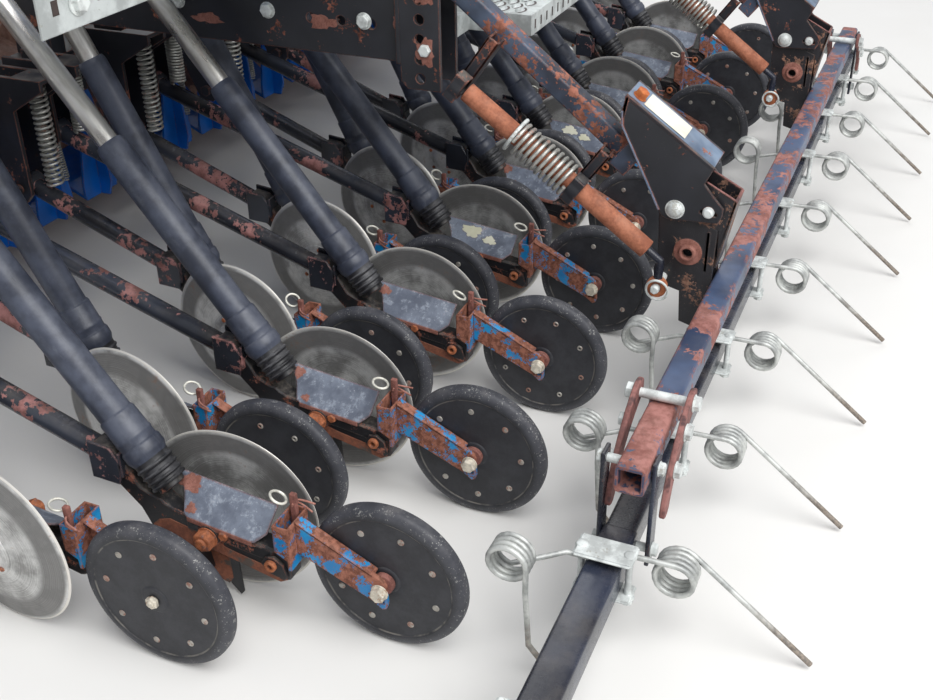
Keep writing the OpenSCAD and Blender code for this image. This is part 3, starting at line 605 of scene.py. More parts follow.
# %% The painted and plated finishes
BLACK = linear(34, 35, 40)
weathered("black_paint", BLACK, amount=0.4, patch=16, edge_pull=2.2, gloss=0.34, dust=0.4,
    specks=0.3)
weathered("casting", linear(26, 26, 29), amount=0.44, patch=34, edge_pull=1.2, gloss=0.42,
    dust=0.55, specks=0.9)
weathered("drawbar_paint", BLACK, amount=0.5, patch=9, edge_pull=1.0, gloss=0.22, dust=0.2,
    rust=(linear(120, 78, 72), linear(176, 124, 120)), paint_two=linear(58, 62, 72))
weathered("blue_paint", linear(4, 88, 170), amount=0.3, patch=14, edge_pull=1.6, gloss=0.34,
    dust=0.3)
weathered("hopper_paint", linear(10, 92, 168), amount=0.16, patch=7, edge_pull=1.2, gloss=0.28,
    dust=0.3)
weathered("arm_paint", linear(16, 118, 178), amount=0.7, patch=34, edge_pull=2.6, gloss=0.42,
    dust=0.12, rust=(linear(106, 62, 46), linear(160, 104, 84)), paint_two=linear(28, 146, 204))
weathered("harrow_paint", linear(50, 62, 88), amount=0.6, patch=13, edge_pull=3.6, gloss=0.4,
    dust=0.1, rust=(linear(128, 80, 72), linear(168, 116, 108)), paint_two=linear(78, 94, 124))
weathered("harrow_black", linear(30, 32, 42), amount=0.2, patch=12, edge_pull=1.2, gloss=0.26,
    dust=0.16, paint_two=linear(46, 52, 68), specks=0.3)
weathered("link_paint", linear(38, 44, 58), amount=0.56, patch=17, edge_pull=2.4, gloss=0.36,
    dust=0.16, rust=(linear(112, 68, 52), linear(158, 100, 82)), paint_two=linear(74, 86, 106))
rusty_steel("post_rust", linear(104, 64, 56), linear(150, 98, 88), patch=60, dust=0.1)
rusty_steel("bolt_rust", linear(128, 72, 44), linear(186, 112, 72), patch=70, dust=0.15,
    third=linear(122, 84, 72))
rusty_steel("wing_rust", linear(104, 62, 48), linear(150, 92, 68), patch=24, dust=0.2,
    third=linear(86, 76, 70))
rusty_steel("strut_rust", linear(134, 78, 56), linear(176, 112, 84), patch=26, dust=0.2)
rusty_steel("roller_steel", linear(140, 104, 90), linear(186, 152, 134), patch=14, dust=0.4,
    shine=0.15)
plated("zinc", linear(186, 186, 180), dull=0.42, stain=0.35)
plated("dusty_bolt", linear(210, 202, 186), dull=0.6, stain=0.35, stain_colour=linear(160, 122, 96),
    patch=90, metal=0.2)
plated("galvanised", linear(196, 201, 200), dull=0.5, stain=0.1, stain_colour=linear(150, 150, 140),
    patch=26, metal=0.55)
plated("clamp_zinc", linear(206, 210, 208), dull=0.62, stain=0.2,
    stain_colour=linear(160, 158, 150), patch=50, metal=0.25)
plated("ring_wire", linear(222, 220, 208), dull=0.45, stain=0.1, stain_colour=linear(170, 150, 130),
    patch=80, metal=0.3)
rusty_steel("split_pin", linear(140, 88, 76), linear(184, 130, 116), patch=80, dust=0.1)
print(len(FINISH), "finishes so far")

# %% [markdown]
# Rubber, plastic and the ground steel of the discs need recipes of their own. The tyre is dull
# black with a paler shoulder, partly scuffed and partly a painted highlight; the seed tubes are
# moulded plastic, dusty grey on top; a disc is worn bright in rings, with a dark band of painted
# shade near the rim and an edge that is partly a painted highlight. Shoulder, band and rings
# follow the mark of the piece, which is the distance from its axle, and not noise alone, because
# wear and the light on a round piece go round with the wheel.


# %% Rubber, plastic and disc steel
def rubber():
    """Black rubber: flat face dark; shoulder paler, partly scuffed and partly a painted highlight, with white
    chips and dust; a pale ring at the lip, painted highlight; tread rubbed.
    """
    f = Finish("wheel_rubber")
    f.edges(0.002)
    reach = f.mark() / (WHEEL_R * MM)
    broad, grain = f.noise(26, 6.0, 0.7), f.noise(320, 4.0, 0.7)
    face = f.mix(broad.step(0.35, 0.65), linear(34, 35, 40), linear(48, 49, 54))
    # The paler shoulder is partly scuffing and partly a painted highlight of the rounded shoulder.
    shoulder_scuff_and_sheen = f.mix(broad.step(0.30, 0.70), linear(52, 53, 59), linear(70, 71, 77))
    colour = f.mix(reach.step(0.86, 0.95), face, shoulder_scuff_and_sheen)
    chalk = (grain * 0.75 + f.noise(70, 4.0) * 0.35).step(0.635, 0.67) * reach.step(0.86, 0.95)
    colour = f.mix(chalk * 0.6, colour, linear(176, 175, 170))
    # A pale ring at the lip between face and shoulder: painted highlight of the lip's edge.
    lip_highlight = reach.step(0.828, 0.834) * (1 - reach.step(0.846, 0.852))
    colour = f.mix(lip_highlight * f.noise(40, 3.0).step(0.4, 0.62) * 0.6, colour, linear(132, 128, 120))
    lies = f.facing_up().step(0.2, 0.9) * broad.step(0.45, 0.7) * 0.12
    f.bump(grain * 0.6 + broad * 0.5, 0.25, 0.0005)
    return f.done(f.mix(lies, colour, DUST), 0.56 + (grain - 0.5) * 0.2)


def moulded(name, dark, pale, dust=0.35):
    """Moulded plastic with scuffs along it and dust on top."""
    f = Finish(name)
    f.edges(0.0025)
    broad, grain = f.noise(18, 5.0, 0.6), f.noise(240, 3.0, 0.6)
    scuffs = f.noise(30, 6.0, 0.8, (6.0, 0.6, 0.6)).step(0.56, 0.7)
    colour = f.mix(broad.step(0.35, 0.65), dark, pale)
    colour = f.mix(scuffs * 0.25, colour, linear(120, 122, 128))
    lies = f.facing_up().step(0.0, 0.9) * broad.step(0.36, 0.66) * dust
    f.bump(grain * 0.5 + broad, 0.2, 0.0006)
    return f.done(f.mix(lies, colour, linear(122, 122, 124)),
        0.42 + scuffs * 0.2 + (grain - 0.5) * 0.2)


def ground_steel():
    """A disc ground by soil, with rings: a dark band near the rim that is painted shade of the dish, paler inside,
    and a pale edge that is partly bare ground steel and partly a painted highlight.
    """
    f = Finish("disc_steel")
    reach = f.mark() / (DISC_R * MM)
    rings = f.node("ShaderNodeTexNoise", {"noise_dimensions": "1D"},
        {"W": f.mark(), "Scale": 900.0, "Detail": 3.0})
    rings = Number(f, rings.outputs[0])
    broad, grain = f.noise(14, 6.0, 0.65), f.noise(180, 4.0, 0.7)
    colour = f.mix((broad * 0.75 + rings * 0.25).step(0.38, 0.60), linear(128, 127, 125),
        linear(206, 206, 204))
    # A dark band near the rim: painted shade of the dished face.
    dish_shade_band = reach.step(0.64, 0.74) * (1 - reach.step(0.93, 0.97))
    dish_shade_band = dish_shade_band * (0.35 + broad.step(0.34, 0.56) * 0.65)
    colour = f.mix(dish_shade_band * 0.75, colour, linear(74, 72, 71))
    stain = (broad * 0.7 + grain * 0.4).step(0.63, 0.72) * 0.5
    colour = f.mix(stain, colour, linear(140, 106, 84))
    # A pale edge at the rim: partly bare ground steel, partly a painted highlight of the bevel.
    ground_edge_and_glint = reach.step(0.972, 0.984)
    colour = f.mix(ground_edge_and_glint * 0.9, colour, linear(226, 222, 214))
    f.bump(rings * 0.5 + grain * 0.3, 0.2, 0.0003)
    return f.done(colour, 0.36 + dish_shade_band * 0.2 + stain * 0.25 + (rings - 0.5) * 0.16,
        0.35 - stain * 0.3)


print("recipes for rubber, plastic and ground steel are ready")

# %% [markdown]
# Three pieces stand closest to the camera and are unlike the rest: the shields, with pale grit
# and a rusty rim, the bright pipes, whose streaks run along them and are partly drawing marks and
# partly painted highlights, and the spring wire, which is brown only near the ground. Streaks are
# noise that is squeezed across and so stretched along.


# %% Shields, pipes and spring wire
def shield_coat():
    """Grey blue sheet: cloudy, flecked with pale grit, rusty at its edges and in a few blots."""
    f = Finish("shield_plate")
    edge = f.edges(0.005).at_most(0.3)
    broad, middle, grain = f.noise(12, 6.0, 0.65), f.noise(55, 5.0, 0.7), f.noise(250, 3.0, 0.7)
    colour = f.mix(broad.step(0.36, 0.62), linear(84, 90, 104), linear(118, 126, 140))
    colour = f.mix(middle.step(0.5, 0.64) * 0.6, colour, linear(150, 158, 170))
    scraped = f.noise(30, 5.0, 0.75, (0.7, 4.0, 4.0)).step(0.58, 0.68)
    colour = f.mix(scraped * 0.4, colour, linear(66, 70, 82))
    rusty = ((broad - 0.5) * 1.1 + (middle - 0.5) * 0.7 + edge * 3.0 - 0.2).step(0.0, 0.06)
    colour = f.mix(rusty, colour,
        f.mix(middle.step(0.4, 0.6), linear(104, 66, 56), linear(150, 104, 92)))
    specks = (1 - f.cells(170)).step(0.80, 0.90) * middle.step(0.48, 0.62)
    flecks = (grain * 0.6 + middle * 0.5).step(0.60, 0.66) * broad.step(0.42, 0.6)
    colour = f.mix((specks + flecks * 0.6).at_most(1.0) * 0.7, colour, linear(192, 196, 202))
    f.bump(rusty * 0.6 + grain * 0.5 + specks * 0.5, 0.4, 0.0006)
    return f.done(colour, 0.46 + rusty * 0.35 + (grain - 0.5) * 0.2)


def clean_pipe():
    """Drawn steel, pale and shiny, with faint streaks along it that are partly drawing marks and partly painted
    highlights, and a little brown at one side.
    """
    f = Finish("tube_steel")
    f.edges(0.002)
    streak_and_highlight, broad = f.noise(60, 4.0, 0.6, (1.0, 0.12, 0.12)), f.noise(9, 5.0, 0.65)
    # Light and dark stripes along the pipe: partly drawing marks, partly painted highlights.
    colour = f.mix(streak_and_highlight.step(0.38, 0.62), linear(172, 168, 162), linear(214, 212, 208))
    dull = broad.step(0.56, 0.7) * 0.5
    colour = f.mix(dull, colour, linear(132, 100, 80))
    f.bump(streak_and_highlight, 0.12, 0.0003)
    return f.done(colour, 0.28 + dull * 0.4 + (streak_and_highlight - 0.5) * 0.1, 0.85 - dull)


def tine_wire():
    """Galvanised spring wire: pale grey coils, legs that go brown towards the ground."""
    f = Finish("tine_steel")
    broad, grain = f.noise(40, 5.0, 0.6), f.noise(240, 3.0, 0.6)
    colour = f.mix(broad.step(0.36, 0.62), linear(158, 160, 158), linear(204, 206, 202))
    low = 1 - (f.height() + (broad - 0.5) * 0.06).step(0.03, 0.11)
    colour = f.mix(low * 0.85, colour,
        f.mix(grain.step(0.4, 0.6), linear(96, 84, 74), linear(140, 124, 108)))
    f.bump(grain, 0.25, 0.0004)
    return f.done(colour, 0.5 + low * 0.25 + (grain - 0.5) * 0.2, 0.45 - low * 0.35)


print("recipes for shields, pipes and wire are ready")

# %% The other finishes
rubber()
shield_coat()
clean_pipe()
tine_wire()
# dark_slot colours the walkway's slots and louvre openings: painted shade and painted shadow.
moulded("dark_slot", linear(44, 36, 34), linear(72, 56, 52), dust=0.1)
moulded("residue", linear(198, 196, 170), linear(222, 220, 200), dust=0.1)
rusty_steel("blot_rust", linear(120, 74, 62), linear(158, 108, 96), patch=55, dust=0.05)
plated("rivet", linear(168, 164, 156), dull=0.45, stain=0.6, stain_colour=linear(132, 84, 66),
    patch=28, metal=0.5)
rusty_steel("ear_rust", linear(104, 66, 62), linear(152, 104, 98), patch=20, dust=0.1,
    third=linear(86, 60, 60))
rusty_steel("orange_rust", linear(170, 84, 40), linear(204, 122, 66), patch=60, dust=0.1)
weathered("muddy_black", linear(34, 33, 36), amount=0.48, patch=24, edge_pull=0.9, gloss=0.36,
    dust=0.4, rust=(linear(92, 66, 56), linear(150, 112, 92)), specks=1.2)
weathered("pale_flange", linear(70, 88, 112), amount=0.36, patch=20, edge_pull=1.6, gloss=0.34,
    dust=0.15, rust=(linear(112, 72, 60), linear(156, 104, 92)), paint_two=linear(120, 138, 160))
moulded("pale_strip", linear(232, 226, 204), linear(244, 240, 228), dust=0.1)
moulded("tube_plastic", linear(46, 50, 62), linear(68, 74, 90), dust=0.25)
moulded("boot_plastic", linear(22, 22, 25), linear(38, 38, 42), dust=0.5)
moulded("grey_plastic", linear(48, 49, 54), linear(66, 67, 72), dust=0.3)
ground_steel()
print(len(FINISH), "finishes in all")

# %% [markdown]
# Every node of the frame first gets the finish of its material slot. For plain pieces, such as
# the hopper, the main frame and the roller, that is all they need. Nodes that need more form
# than the frame gives them are replaced further down, piece by piece.

# %% Finish for the nodes
SMOOTH_TO = 32
SLOT_OF = {part["node"]: part["material_slot"] for part in frame["record"]["subparts"]}
for node_name, node_object in frame["nodes"].items():
    node_object.data.materials.clear()
    node_object.data.materials.append(FINISH[SLOT_OF[node_name]])
    node_object.data.shade_smooth()
    node_object.data.set_sharp_from_angle(angle=math.radians(SMOOTH_TO))
for node_name in ("hopper", "hopper_lid"):
    frame["nodes"][node_name].data.materials[0] = FINISH["hopper_paint"]
print("finished", len(frame["nodes"]), "nodes")

# %% [markdown]
# A piece is a form made into a mesh that rides on a body of the frame, so it moves with its
# joint. What it replaces stays in the frame for collision, hidden. The mark of each corner
# goes with the mesh, in metres, as an attribute that the finish reads.

# %% Piece maker
ADDED = []


def piece(name, body, form, finishes, replaces=(), smooth=SMOOTH_TO):
    """Makes the mesh of a form, lets it ride on a body and hides the nodes it replaces."""
    mesh = bpy.data.meshes.new(name)
    mesh.from_pydata((form.corners * MM).tolist(), [], form.faces)
    for finish in finishes:
        mesh.materials.append(FINISH[finish])
    mesh.polygons.foreach_set("material_index", form.mats)
    mesh.attributes.new("mark", "FLOAT", "POINT").data.foreach_set("value", form.marks * MM)
    mesh.shade_smooth()
    mesh.set_sharp_from_angle(angle=math.radians(smooth))
    mesh.update()
    made = bpy.data.objects.new(name, mesh)
    bpy.context.scene.collection.objects.link(made)
    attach(made, body)
    if replaces:
        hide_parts(*replaces)
    ADDED.append((name, sum(len(f) - 2 for f in form.faces)))
    return made


def in_rows(form_of):
    """One form out of a form drawn for each row."""
    return joined([form_of(k).moved(row(k)) for k in ROWS])


print("piece maker is ready")

# %% [markdown]
# What repeats or winds is grown by Geometry Nodes: rings of rivets, coil springs and grids of
# louvres. A loop in Python could do it too, but a tree with named inputs can be tuned in the
# editor and used again. Each tree ends in Realize Instances and Set Material; grow() sets the
# inputs, evaluates the tree once and gives back a plain form.


# %% Geometry node trees
class Tree:
    """A geometry node tree with named inputs."""

    def __init__(self, name, inputs):
        self.group = bpy.data.node_groups.new(name, "GeometryNodeTree")
        for label, kind in inputs:
            self.group.interface.new_socket(label, in_out="INPUT", socket_type=f"NodeSocket{kind}")
        self.group.interface.new_socket("Geometry", in_out="OUTPUT",
            socket_type="NodeSocketGeometry")
        self.inputs = self.group.nodes.new("NodeGroupInput").outputs

    def node(self, kind, settings=None, inputs=None):
        """Adds a node: its type, its settings, then the values or links of its sockets."""
        made = self.group.nodes.new(kind)
        for key, value in (settings or {}).items():
            setattr(made, key, value)
        for key, value in (inputs or {}).items():
            if isinstance(value, bpy.types.NodeSocket):
                self.group.links.new(value, made.inputs[key])
            else:
                made.inputs[key].default_value = value
        return made

    def close(self, geometry):
        """Ends the tree."""
        real = self.node("GeometryNodeRealizeInstances", {}, {0: geometry})
        paint = self.node("GeometryNodeSetMaterial", {},
            {"Geometry": real.outputs[0], "Material": self.inputs["Finish"]})
        out = self.group.nodes.new("NodeGroupOutput")
        self.group.links.new(paint.outputs[0], out.inputs[0])
        return self


def grow(tree, finish, **values):
    """The form that a tree makes from these inputs."""
    holder = bpy.data.objects.new("grow", bpy.data.meshes.new("grow"))
    bpy.context.scene.collection.objects.link(holder)
    modifier = holder.modifiers.new("grow", "NODES")
    modifier.node_group = tree.group
    values["Finish"] = FINISH[finish]
    for socket in tree.group.interface.items_tree:
        if socket.in_out == "INPUT" and socket.name in values:
            modifier[socket.identifier] = values[socket.name]
    bpy.context.view_layer.update()
    seen = holder.evaluated_get(bpy.context.evaluated_depsgraph_get())
    mesh = bpy.data.meshes.new_from_object(seen)
    holder.modifiers.remove(modifier)
    made = Form([v.co[:] for v in mesh.vertices], [p.vertices[:] for p in mesh.polygons])
    bpy.data.objects.remove(holder)
    bpy.data.meshes.remove(mesh)
    return made


print("trees can be built and grown")

# %% [markdown]
# Three trees are enough for the drill. The ring sets copies on the points of a circle, the coil
# sweeps a round wire along a spiral, and the grid sets copies on the points of a flat mesh. A
# separate tree for each spring or rivet would only repeat them with other numbers.


# %% Ring, coil and grid
def ring_tree():
    """Copies of one shape evenly round a circle about Z."""
    t = Tree("ring", [("Shape", "Object"), ("Count", "Int"), ("Radius", "Float"),
        ("Finish", "Material")])
    circle = t.node("GeometryNodeMeshCircle", {},
        {"Vertices": t.inputs["Count"], "Radius": t.inputs["Radius"]})
    shape = t.node("GeometryNodeObjectInfo", {}, {"Object": t.inputs["Shape"]})
    copies = t.node("GeometryNodeInstanceOnPoints", {},
        {"Points": circle.outputs[0], "Instance": shape.outputs["Geometry"]})
    return t.close(copies.outputs[0])


def coil_tree():
    """A round wire wound about Z."""
    t = Tree("coil", [("Turns", "Float"), ("Radius", "Float"), ("Height", "Float"),
        ("Wire", "Float"), ("Finish", "Material")])
    spiral = t.node("GeometryNodeCurveSpiral", {},
        {"Resolution": 20, "Rotations": t.inputs["Turns"], "Start Radius": t.inputs["Radius"],
            "End Radius": t.inputs["Radius"], "Height": t.inputs["Height"]})
    profile = t.node("GeometryNodeCurvePrimitiveCircle", {},
        {"Resolution": 8, "Radius": t.inputs["Wire"]})
    wire = t.node("GeometryNodeCurveToMesh", {},
        {"Curve": spiral.outputs[0], "Profile Curve": profile.outputs[0], "Fill Caps": True})
    return t.close(wire.outputs[0])


def grid_tree():
    """Copies of one shape on a grid in X and Y."""
    t = Tree("grid", [("Shape", "Object"), ("Across", "Int"), ("Along", "Int"), ("Width", "Float"),
        ("Depth", "Float"), ("Finish", "Material")])
    grid = t.node("GeometryNodeMeshGrid", {},
        {"Size X": t.inputs["Width"], "Size Y": t.inputs["Depth"], "Vertices X": t.inputs["Across"],
            "Vertices Y": t.inputs["Along"]})
    shape = t.node("GeometryNodeObjectInfo", {}, {"Object": t.inputs["Shape"]})
    copies = t.node("GeometryNodeInstanceOnPoints", {},
        {"Points": grid.outputs[0], "Instance": shape.outputs["Geometry"]})
    return t.close(copies.outputs[0])


RING, COIL, GRID = ring_tree(), coil_tree(), grid_tree()
print("trees:", *(tree.group.name for tree in (RING, COIL, GRID)))


# %% Copies, springs and bolts in their places
def copies_of(tree, form, finish, **values):
    """Grows a tree with a form as its shape."""
    mesh = bpy.data.meshes.new("shape")
    mesh.from_pydata(form.corners.tolist(), [], form.faces)
    shape = bpy.data.objects.new("shape", mesh)
    made = grow(tree, finish, Shape=shape, **values)
    bpy.data.objects.remove(shape)
    bpy.data.meshes.remove(mesh)
    return made


Z_TO_X = Matrix(((0, 0, 1, 0), (1, 0, 0, 0), (0, 1, 0, 0), (0, 0, 0, 1)))
X_TO_Z = Z_TO_X.inverted()


def shift(x=0, y=0, z=0):
    """A plain move."""
    return Matrix.Translation((x, y, z))


def mirror_x():
    """The mirror image in X."""
    return Matrix.Diagonal((-1, 1, 1, 1))


def upright(p, q):
    """The place of a shape drawn along +Z from the origin, laid on the line from p to q."""
    d = Vector(q) - Vector(p)
    return Matrix.Translation(Vector(p)) @ d.to_track_quat("Z", "Y").to_matrix().to_4x4()


def coil(p, q, radius, wire, turns):
    """A zinc coil spring from p to q."""
    high = (Vector(q) - Vector(p)).length
    made = grow(COIL, "zinc", Turns=float(turns), Radius=float(radius), Height=high,
        Wire=float(wire))
    return made.moved(upright(p, q))


def cut_sheet(outline, holes, x0, x1, edge=0.6):
    """A plate drawn in (y, z) with round holes, from x0 to x1."""
    return cut_plate(outline, holes, x1 - x0, edge).moved(shift((x0 + x1) / 2) @ Z_TO_X)


def turned(form, degrees):
    """A form turned about the X axis."""
    return form.moved(Matrix.Rotation(math.radians(degrees), 4, "X"))


def facing(side):
    """Turns what looks along +X to the side it should look to."""
    return mirror_x() if side < 0 else Matrix.Identity(4)


def bolt(x, y, z, size, high, side=-1, washer=0.0, turn=0):
    """A bolt head that stands on the plane x and looks to one side."""
    head = turned(hexagon(size, high, washer), turn)
    return head.moved(shift(x, y, z) @ facing(side))


print("copies_of, coil, cut_sheet and bolt are ready")

# %% [markdown]
# The press wheel is a flat dull disc of rubber with a fine lip, then a smoothly rounded
# shoulder. A cylinder with a bevel comes near, but lip and shoulder are one profile, so the
# lathe turns them in one go. Eight rivets hold it; their ring comes from the first tree, and
# every third wheel has tubular ones. Each wheel is turned by an angle from its row's number, so
# that no two stand alike.

# %% Press wheels
WHEEL_IN, WHEEL_OUT = -16, 12
AXLE_R = 8.1
RISE, TURN_IN = WHEEL_R * 0.135, 10.4


def shoulder(side, n=9):
    """The rounded shoulder of the tyre as (radius, x), from the face to the tread."""
    face, way = (WHEEL_IN, 1) if side < 0 else (WHEEL_OUT, -1)
    angles = [math.pi / 2 * i / n for i in range(n + 1)]
    return [(WHEEL_R - RISE + RISE * math.sin(a), face + way * TURN_IN * (1 - math.cos(a)))
        for a in angles]


def wheel_form():
    """Tyre and hub face of a press wheel, about its axle."""
    lip = WHEEL_R * 0.85
    near = [(AXLE_R, WHEEL_IN), (19, WHEEL_IN), (20.5, WHEEL_IN + 0.6), (22, WHEEL_IN + 2),
        (60, WHEEL_IN + 1.7), (lip - 1.2, WHEEL_IN + 2), (lip - 0.4, WHEEL_IN + 1.4),
        (lip + 0.3, WHEEL_IN + 0.3), (lip + 1.1, WHEEL_IN)]
    far = [(r, WHEEL_IN + WHEEL_OUT - x) for r, x in near[::-1]]
    profile = near + shoulder(-1) + shoulder(1)[::-1] + far
    return lathe(profile, 96)


def rivet(size=5.2, high=1.5, hole=0.0):
    """A flat rivet head standing on the origin along +Z; a tubular one has a hole."""
    if hole:
        profile = [(0, -1.5), (hole, -1.5), (hole, high - 0.2), (hole + 0.4, high),
            (size - 1, high), (size, high * 0.5), (size, -0.5)]
    else:
        profile = [(0, high), (size - 1.2, high), (size, high * 0.4), (size, -0.5)]
    return lathe(profile, 14).moved(X_TO_Z)


RIVET_R = 0.67 * WHEEL_R
wheel_base = wheel_form()
rivets = copies_of(RING, rivet(), "rivet", Count=8, Radius=RIVET_R)
tubular = copies_of(RING, rivet(5.0, 1.8, 2.4), "rivet", Count=8, Radius=RIVET_R)
face_plane = {-1: shift(WHEEL_IN + 1.7) @ mirror_x() @ Z_TO_X, 1: shift(WHEEL_OUT - 1.7) @ Z_TO_X}
for k in ROWS:
    ring = tubular if k % 3 == 2 else rivets
    turn = 11 * k + 8
    both = [turned(ring.moved(face_plane[s]), turn) for s in (-1, 1)]
    form = joined([turned(wheel_base, 3 * k)] + [r.painted(1) for r in both])
    name = f"wheel_{k + 1:02d}"
    piece(name + "_tyre", f"wheel_body_{k + 1:02d}", form.moved(row(k) @ shift(0, 0, WHEEL_R)),
        ["wheel_rubber", "rivet"], replaces=[name])
print("wheel rivets at", round(RIVET_R), "mm")

# %% [markdown]
# The coulter disc is a shallow dish ground sharp at its rim, with a domed hub cap that five
# rusty screws hold. It is turned from one profile as well; a flat disc would miss the soft
# gradient of light that tells the eye it is dished.

# %% Coulter discs
RIM_X, DISH = 15, 18
HUB_R, CAP_R, DISH_RINGS = 26, 44, 12
BLADE_HALF, GROUND = 2, 6


def crown(r):
    """How far the dish stands off the row line at a radius."""
    return RIM_X + DISH * (1 - (r / DISC_R) ** 2)


def disc_form():
    """The dish, its bevelled rim and the hub behind it."""
    span = DISC_R - GROUND - HUB_R
    radii = [HUB_R + span * i / DISH_RINGS for i in range(DISH_RINGS + 1)]
    back = [(r, crown(r) - BLADE_HALF) for r in radii]
    front = [(r, crown(r) + BLADE_HALF) for r in radii if r > CAP_R]
    rim = [(DISC_R - 3, crown(DISC_R - 3) - 1.6), (DISC_R - 0.3, RIM_X - 0.8), (DISC_R, RIM_X),
        (DISC_R - 0.3, RIM_X + 0.6), (DISC_R - GROUND, crown(DISC_R - GROUND) + 1.9)]
    hub = [(12.1, -7), (23, -7), (24, -6), (24, 26), (HUB_R, crown(HUB_R) - BLADE_HALF)]
    cap = [(45, RIM_X + 19.2), (44.4, RIM_X + 21.8), (42, RIM_X + 23.4), (31, RIM_X + 25.2),
        (29, RIM_X + 27), (27, RIM_X + 31), (22, RIM_X + 34.6), (14, RIM_X + 36.9),
        (0, RIM_X + 37.8)]
    bore = [(0, 20), (12.1, 20)]
    return lathe(bore + hub + back[1:] + rim + front[::-1] + cap, 96)


disc_base = disc_form()
screw = lathe([(0, 2.4), (3.6, 2.4), (4.4, 1.6), (4.4, -1)], 6).moved(X_TO_Z)
screws = copies_of(RING, screw, "bolt_rust", Count=5, Radius=37.0)
screws = screws.moved(shift(RIM_X + 24.2) @ Z_TO_X)
for k in ROWS:
    form = joined([disc_base, screws.painted(1)])
    name = f"disc_{k + 1:02d}"
    piece(name + "_blade", f"disc_body_{k + 1:02d}", turned(form, 17 * k).moved(row(k) @ at_disc()),
        ["disc_steel", "bolt_rust"], replaces=[name], smooth=40)
print("discs of", round(2 * DISC_R), "mm")

# %% [markdown]
# Each row has a black casting that carries the disc axle, a rusty wing and a dark flap that
# shape the furrow, and bolts and a bushing in their own rusts. A casting could be sculpted, but
# seen from the side it is a thick plate with a clear outline, so the outline is drawn and its
# edges are rounded more.

# %% Castings, wings and bolts
CASTING_X = (-45, -15)
CASTING = [(352, 179), (376, 190), (400, 228), (415, 246), (448, 250), (448, 196), (412, 184),
    (380, 152), (352, 92), (318, 60), (284, 48), (292, 96), (290, 118), (150, 88), (134, 96),
    (134, 131), (150, 142), (300, 163), (322, 166), (336, 172), (342, 178)]
WING = [(346, 122), (348, 84), (334, 56), (314, 38), (264, 23), (256, 36), (258, 104), (300, 132)]
FLAP = [(262, 96), (243, 92), (240, 14), (246, 6), (262, 24)]
SKIRT = [(362, 128), (352, 93), (318, 61), (285, 49), (291, 94), (289, 117), (152, 88), (140, 95),
    (152, 106), (230, 121), (288, 138), (330, 147), (350, 140)]
LUG = [(170, 132), (178, 118), (164, 104), (142, 97), (136, 104), (142, 124), (156, 134)]
OUTLET_Y, OUTLET_Z = 948, 945
BODY_X = -30
TUBE_FOOT = Vector((BODY_X, 332, 203))


def tube_top(k):
    """The ball at the top of a seed tube, in its row's frame."""
    return Vector((0, OUTLET_Y - row_step(k), OUTLET_Z))


def on_tube(k, s):
    """The point at distance s up the seed tube of row k."""
    return TUBE_FOOT + s * (tube_top(k) - TUBE_FOOT).normalized()


def casting_form(k):
    """The black casting with its disc boss and the socket of the seed tube."""
    body = plate(CASTING, *CASTING_X, 2.4)
    boss = lathe([(0, 0), (19, 0), (18, 7), (15, 8.5), (0, 8.5)], 24)
    boss = boss.moved(shift(-44.5, DISC_AHEAD, DISC_Z) @ mirror_x())
    rib = plate([(300, 158), (300, 140), (170, 122), (160, 128), (160, 142)], -47.5, -44, 1.6)
    socket = bar(on_tube(k, -8), on_tube(k, 12), 20.5, 24)
    axle = bar((-16, DISC_AHEAD, DISC_Z), (4, DISC_AHEAD + 0.5, DISC_Z), 12, 20)
    return joined([body, boss, rib, socket, axle])


def furrow_form(k):
    """The plates that shape the furrow: 0 the wing and the skirt, 1 the flap."""
    wing, flap = cut_sheet(WING, [], -18, -13), cut_sheet(FLAP, [], -17, -14)
    return joined([wing, flap.painted(1), cut_sheet(SKIRT, [], -46, -44.2, 0.4)])


def small_parts(k):
    """The heads and the bushing on one casting."""
    drift = (k * 7) % 5
    axle_head = bolt(-53, DISC_AHEAD, DISC_Z, 27, 15, -1, 17, 9 * k)
    stub = lathe([(0, 0), (9, 0), (9, 5), (7.5, 6), (0, 6)], 16)
    stub = stub.moved(shift(-68, DISC_AHEAD, DISC_Z) @ mirror_x())
    small = bolt(-45, 236, 148, 13, 8, -1, 10, 20 * k)
    ring = lathe([(4.2, -1), (4.2, 11), (5, 12), (8, 12), (9.2, 10.5), (9.2, -1)], 20)
    ring = ring.moved(shift(-45, 161, 120) @ mirror_x())
    low = bolt(-18, 300, 60, 12, 6, -1, 9, 15 * k + drift)
    return joined([axle_head, stub, small, ring, low])


piece("castings", "frame", in_rows(casting_form), ["casting"], replaces=["coulters"])
piece("furrow_wings", "frame", in_rows(furrow_form), ["wing_rust", "boot_plastic"])
piece("coulter_lugs", "frame", in_rows(lambda k: cut_sheet(LUG, [(161, 120, 7)], -51, -45)),
    ["casting"])
piece("coulter_bolts", "frame", in_rows(small_parts), ["bolt_rust"])
print("castings reach from", min(y for y, z in CASTING), "to", max(y for y, z in CASTING),
    "mm ahead")

# %% [markdown]
# The drawbar is a round bar from the casting to its pivot on the beam. It ends in an eye in
# front and in a square bracket behind. The pivots of the two rows differ in height, so the bar
# is laid between two points and not drawn at a fixed slope.

# %% Drawbars
BAR_R = 17
PIVOT_Y, PIVOT_Z = 1010, {True: 419, False: 345}
FOOT_Y, FOOT_Z = 430, 224


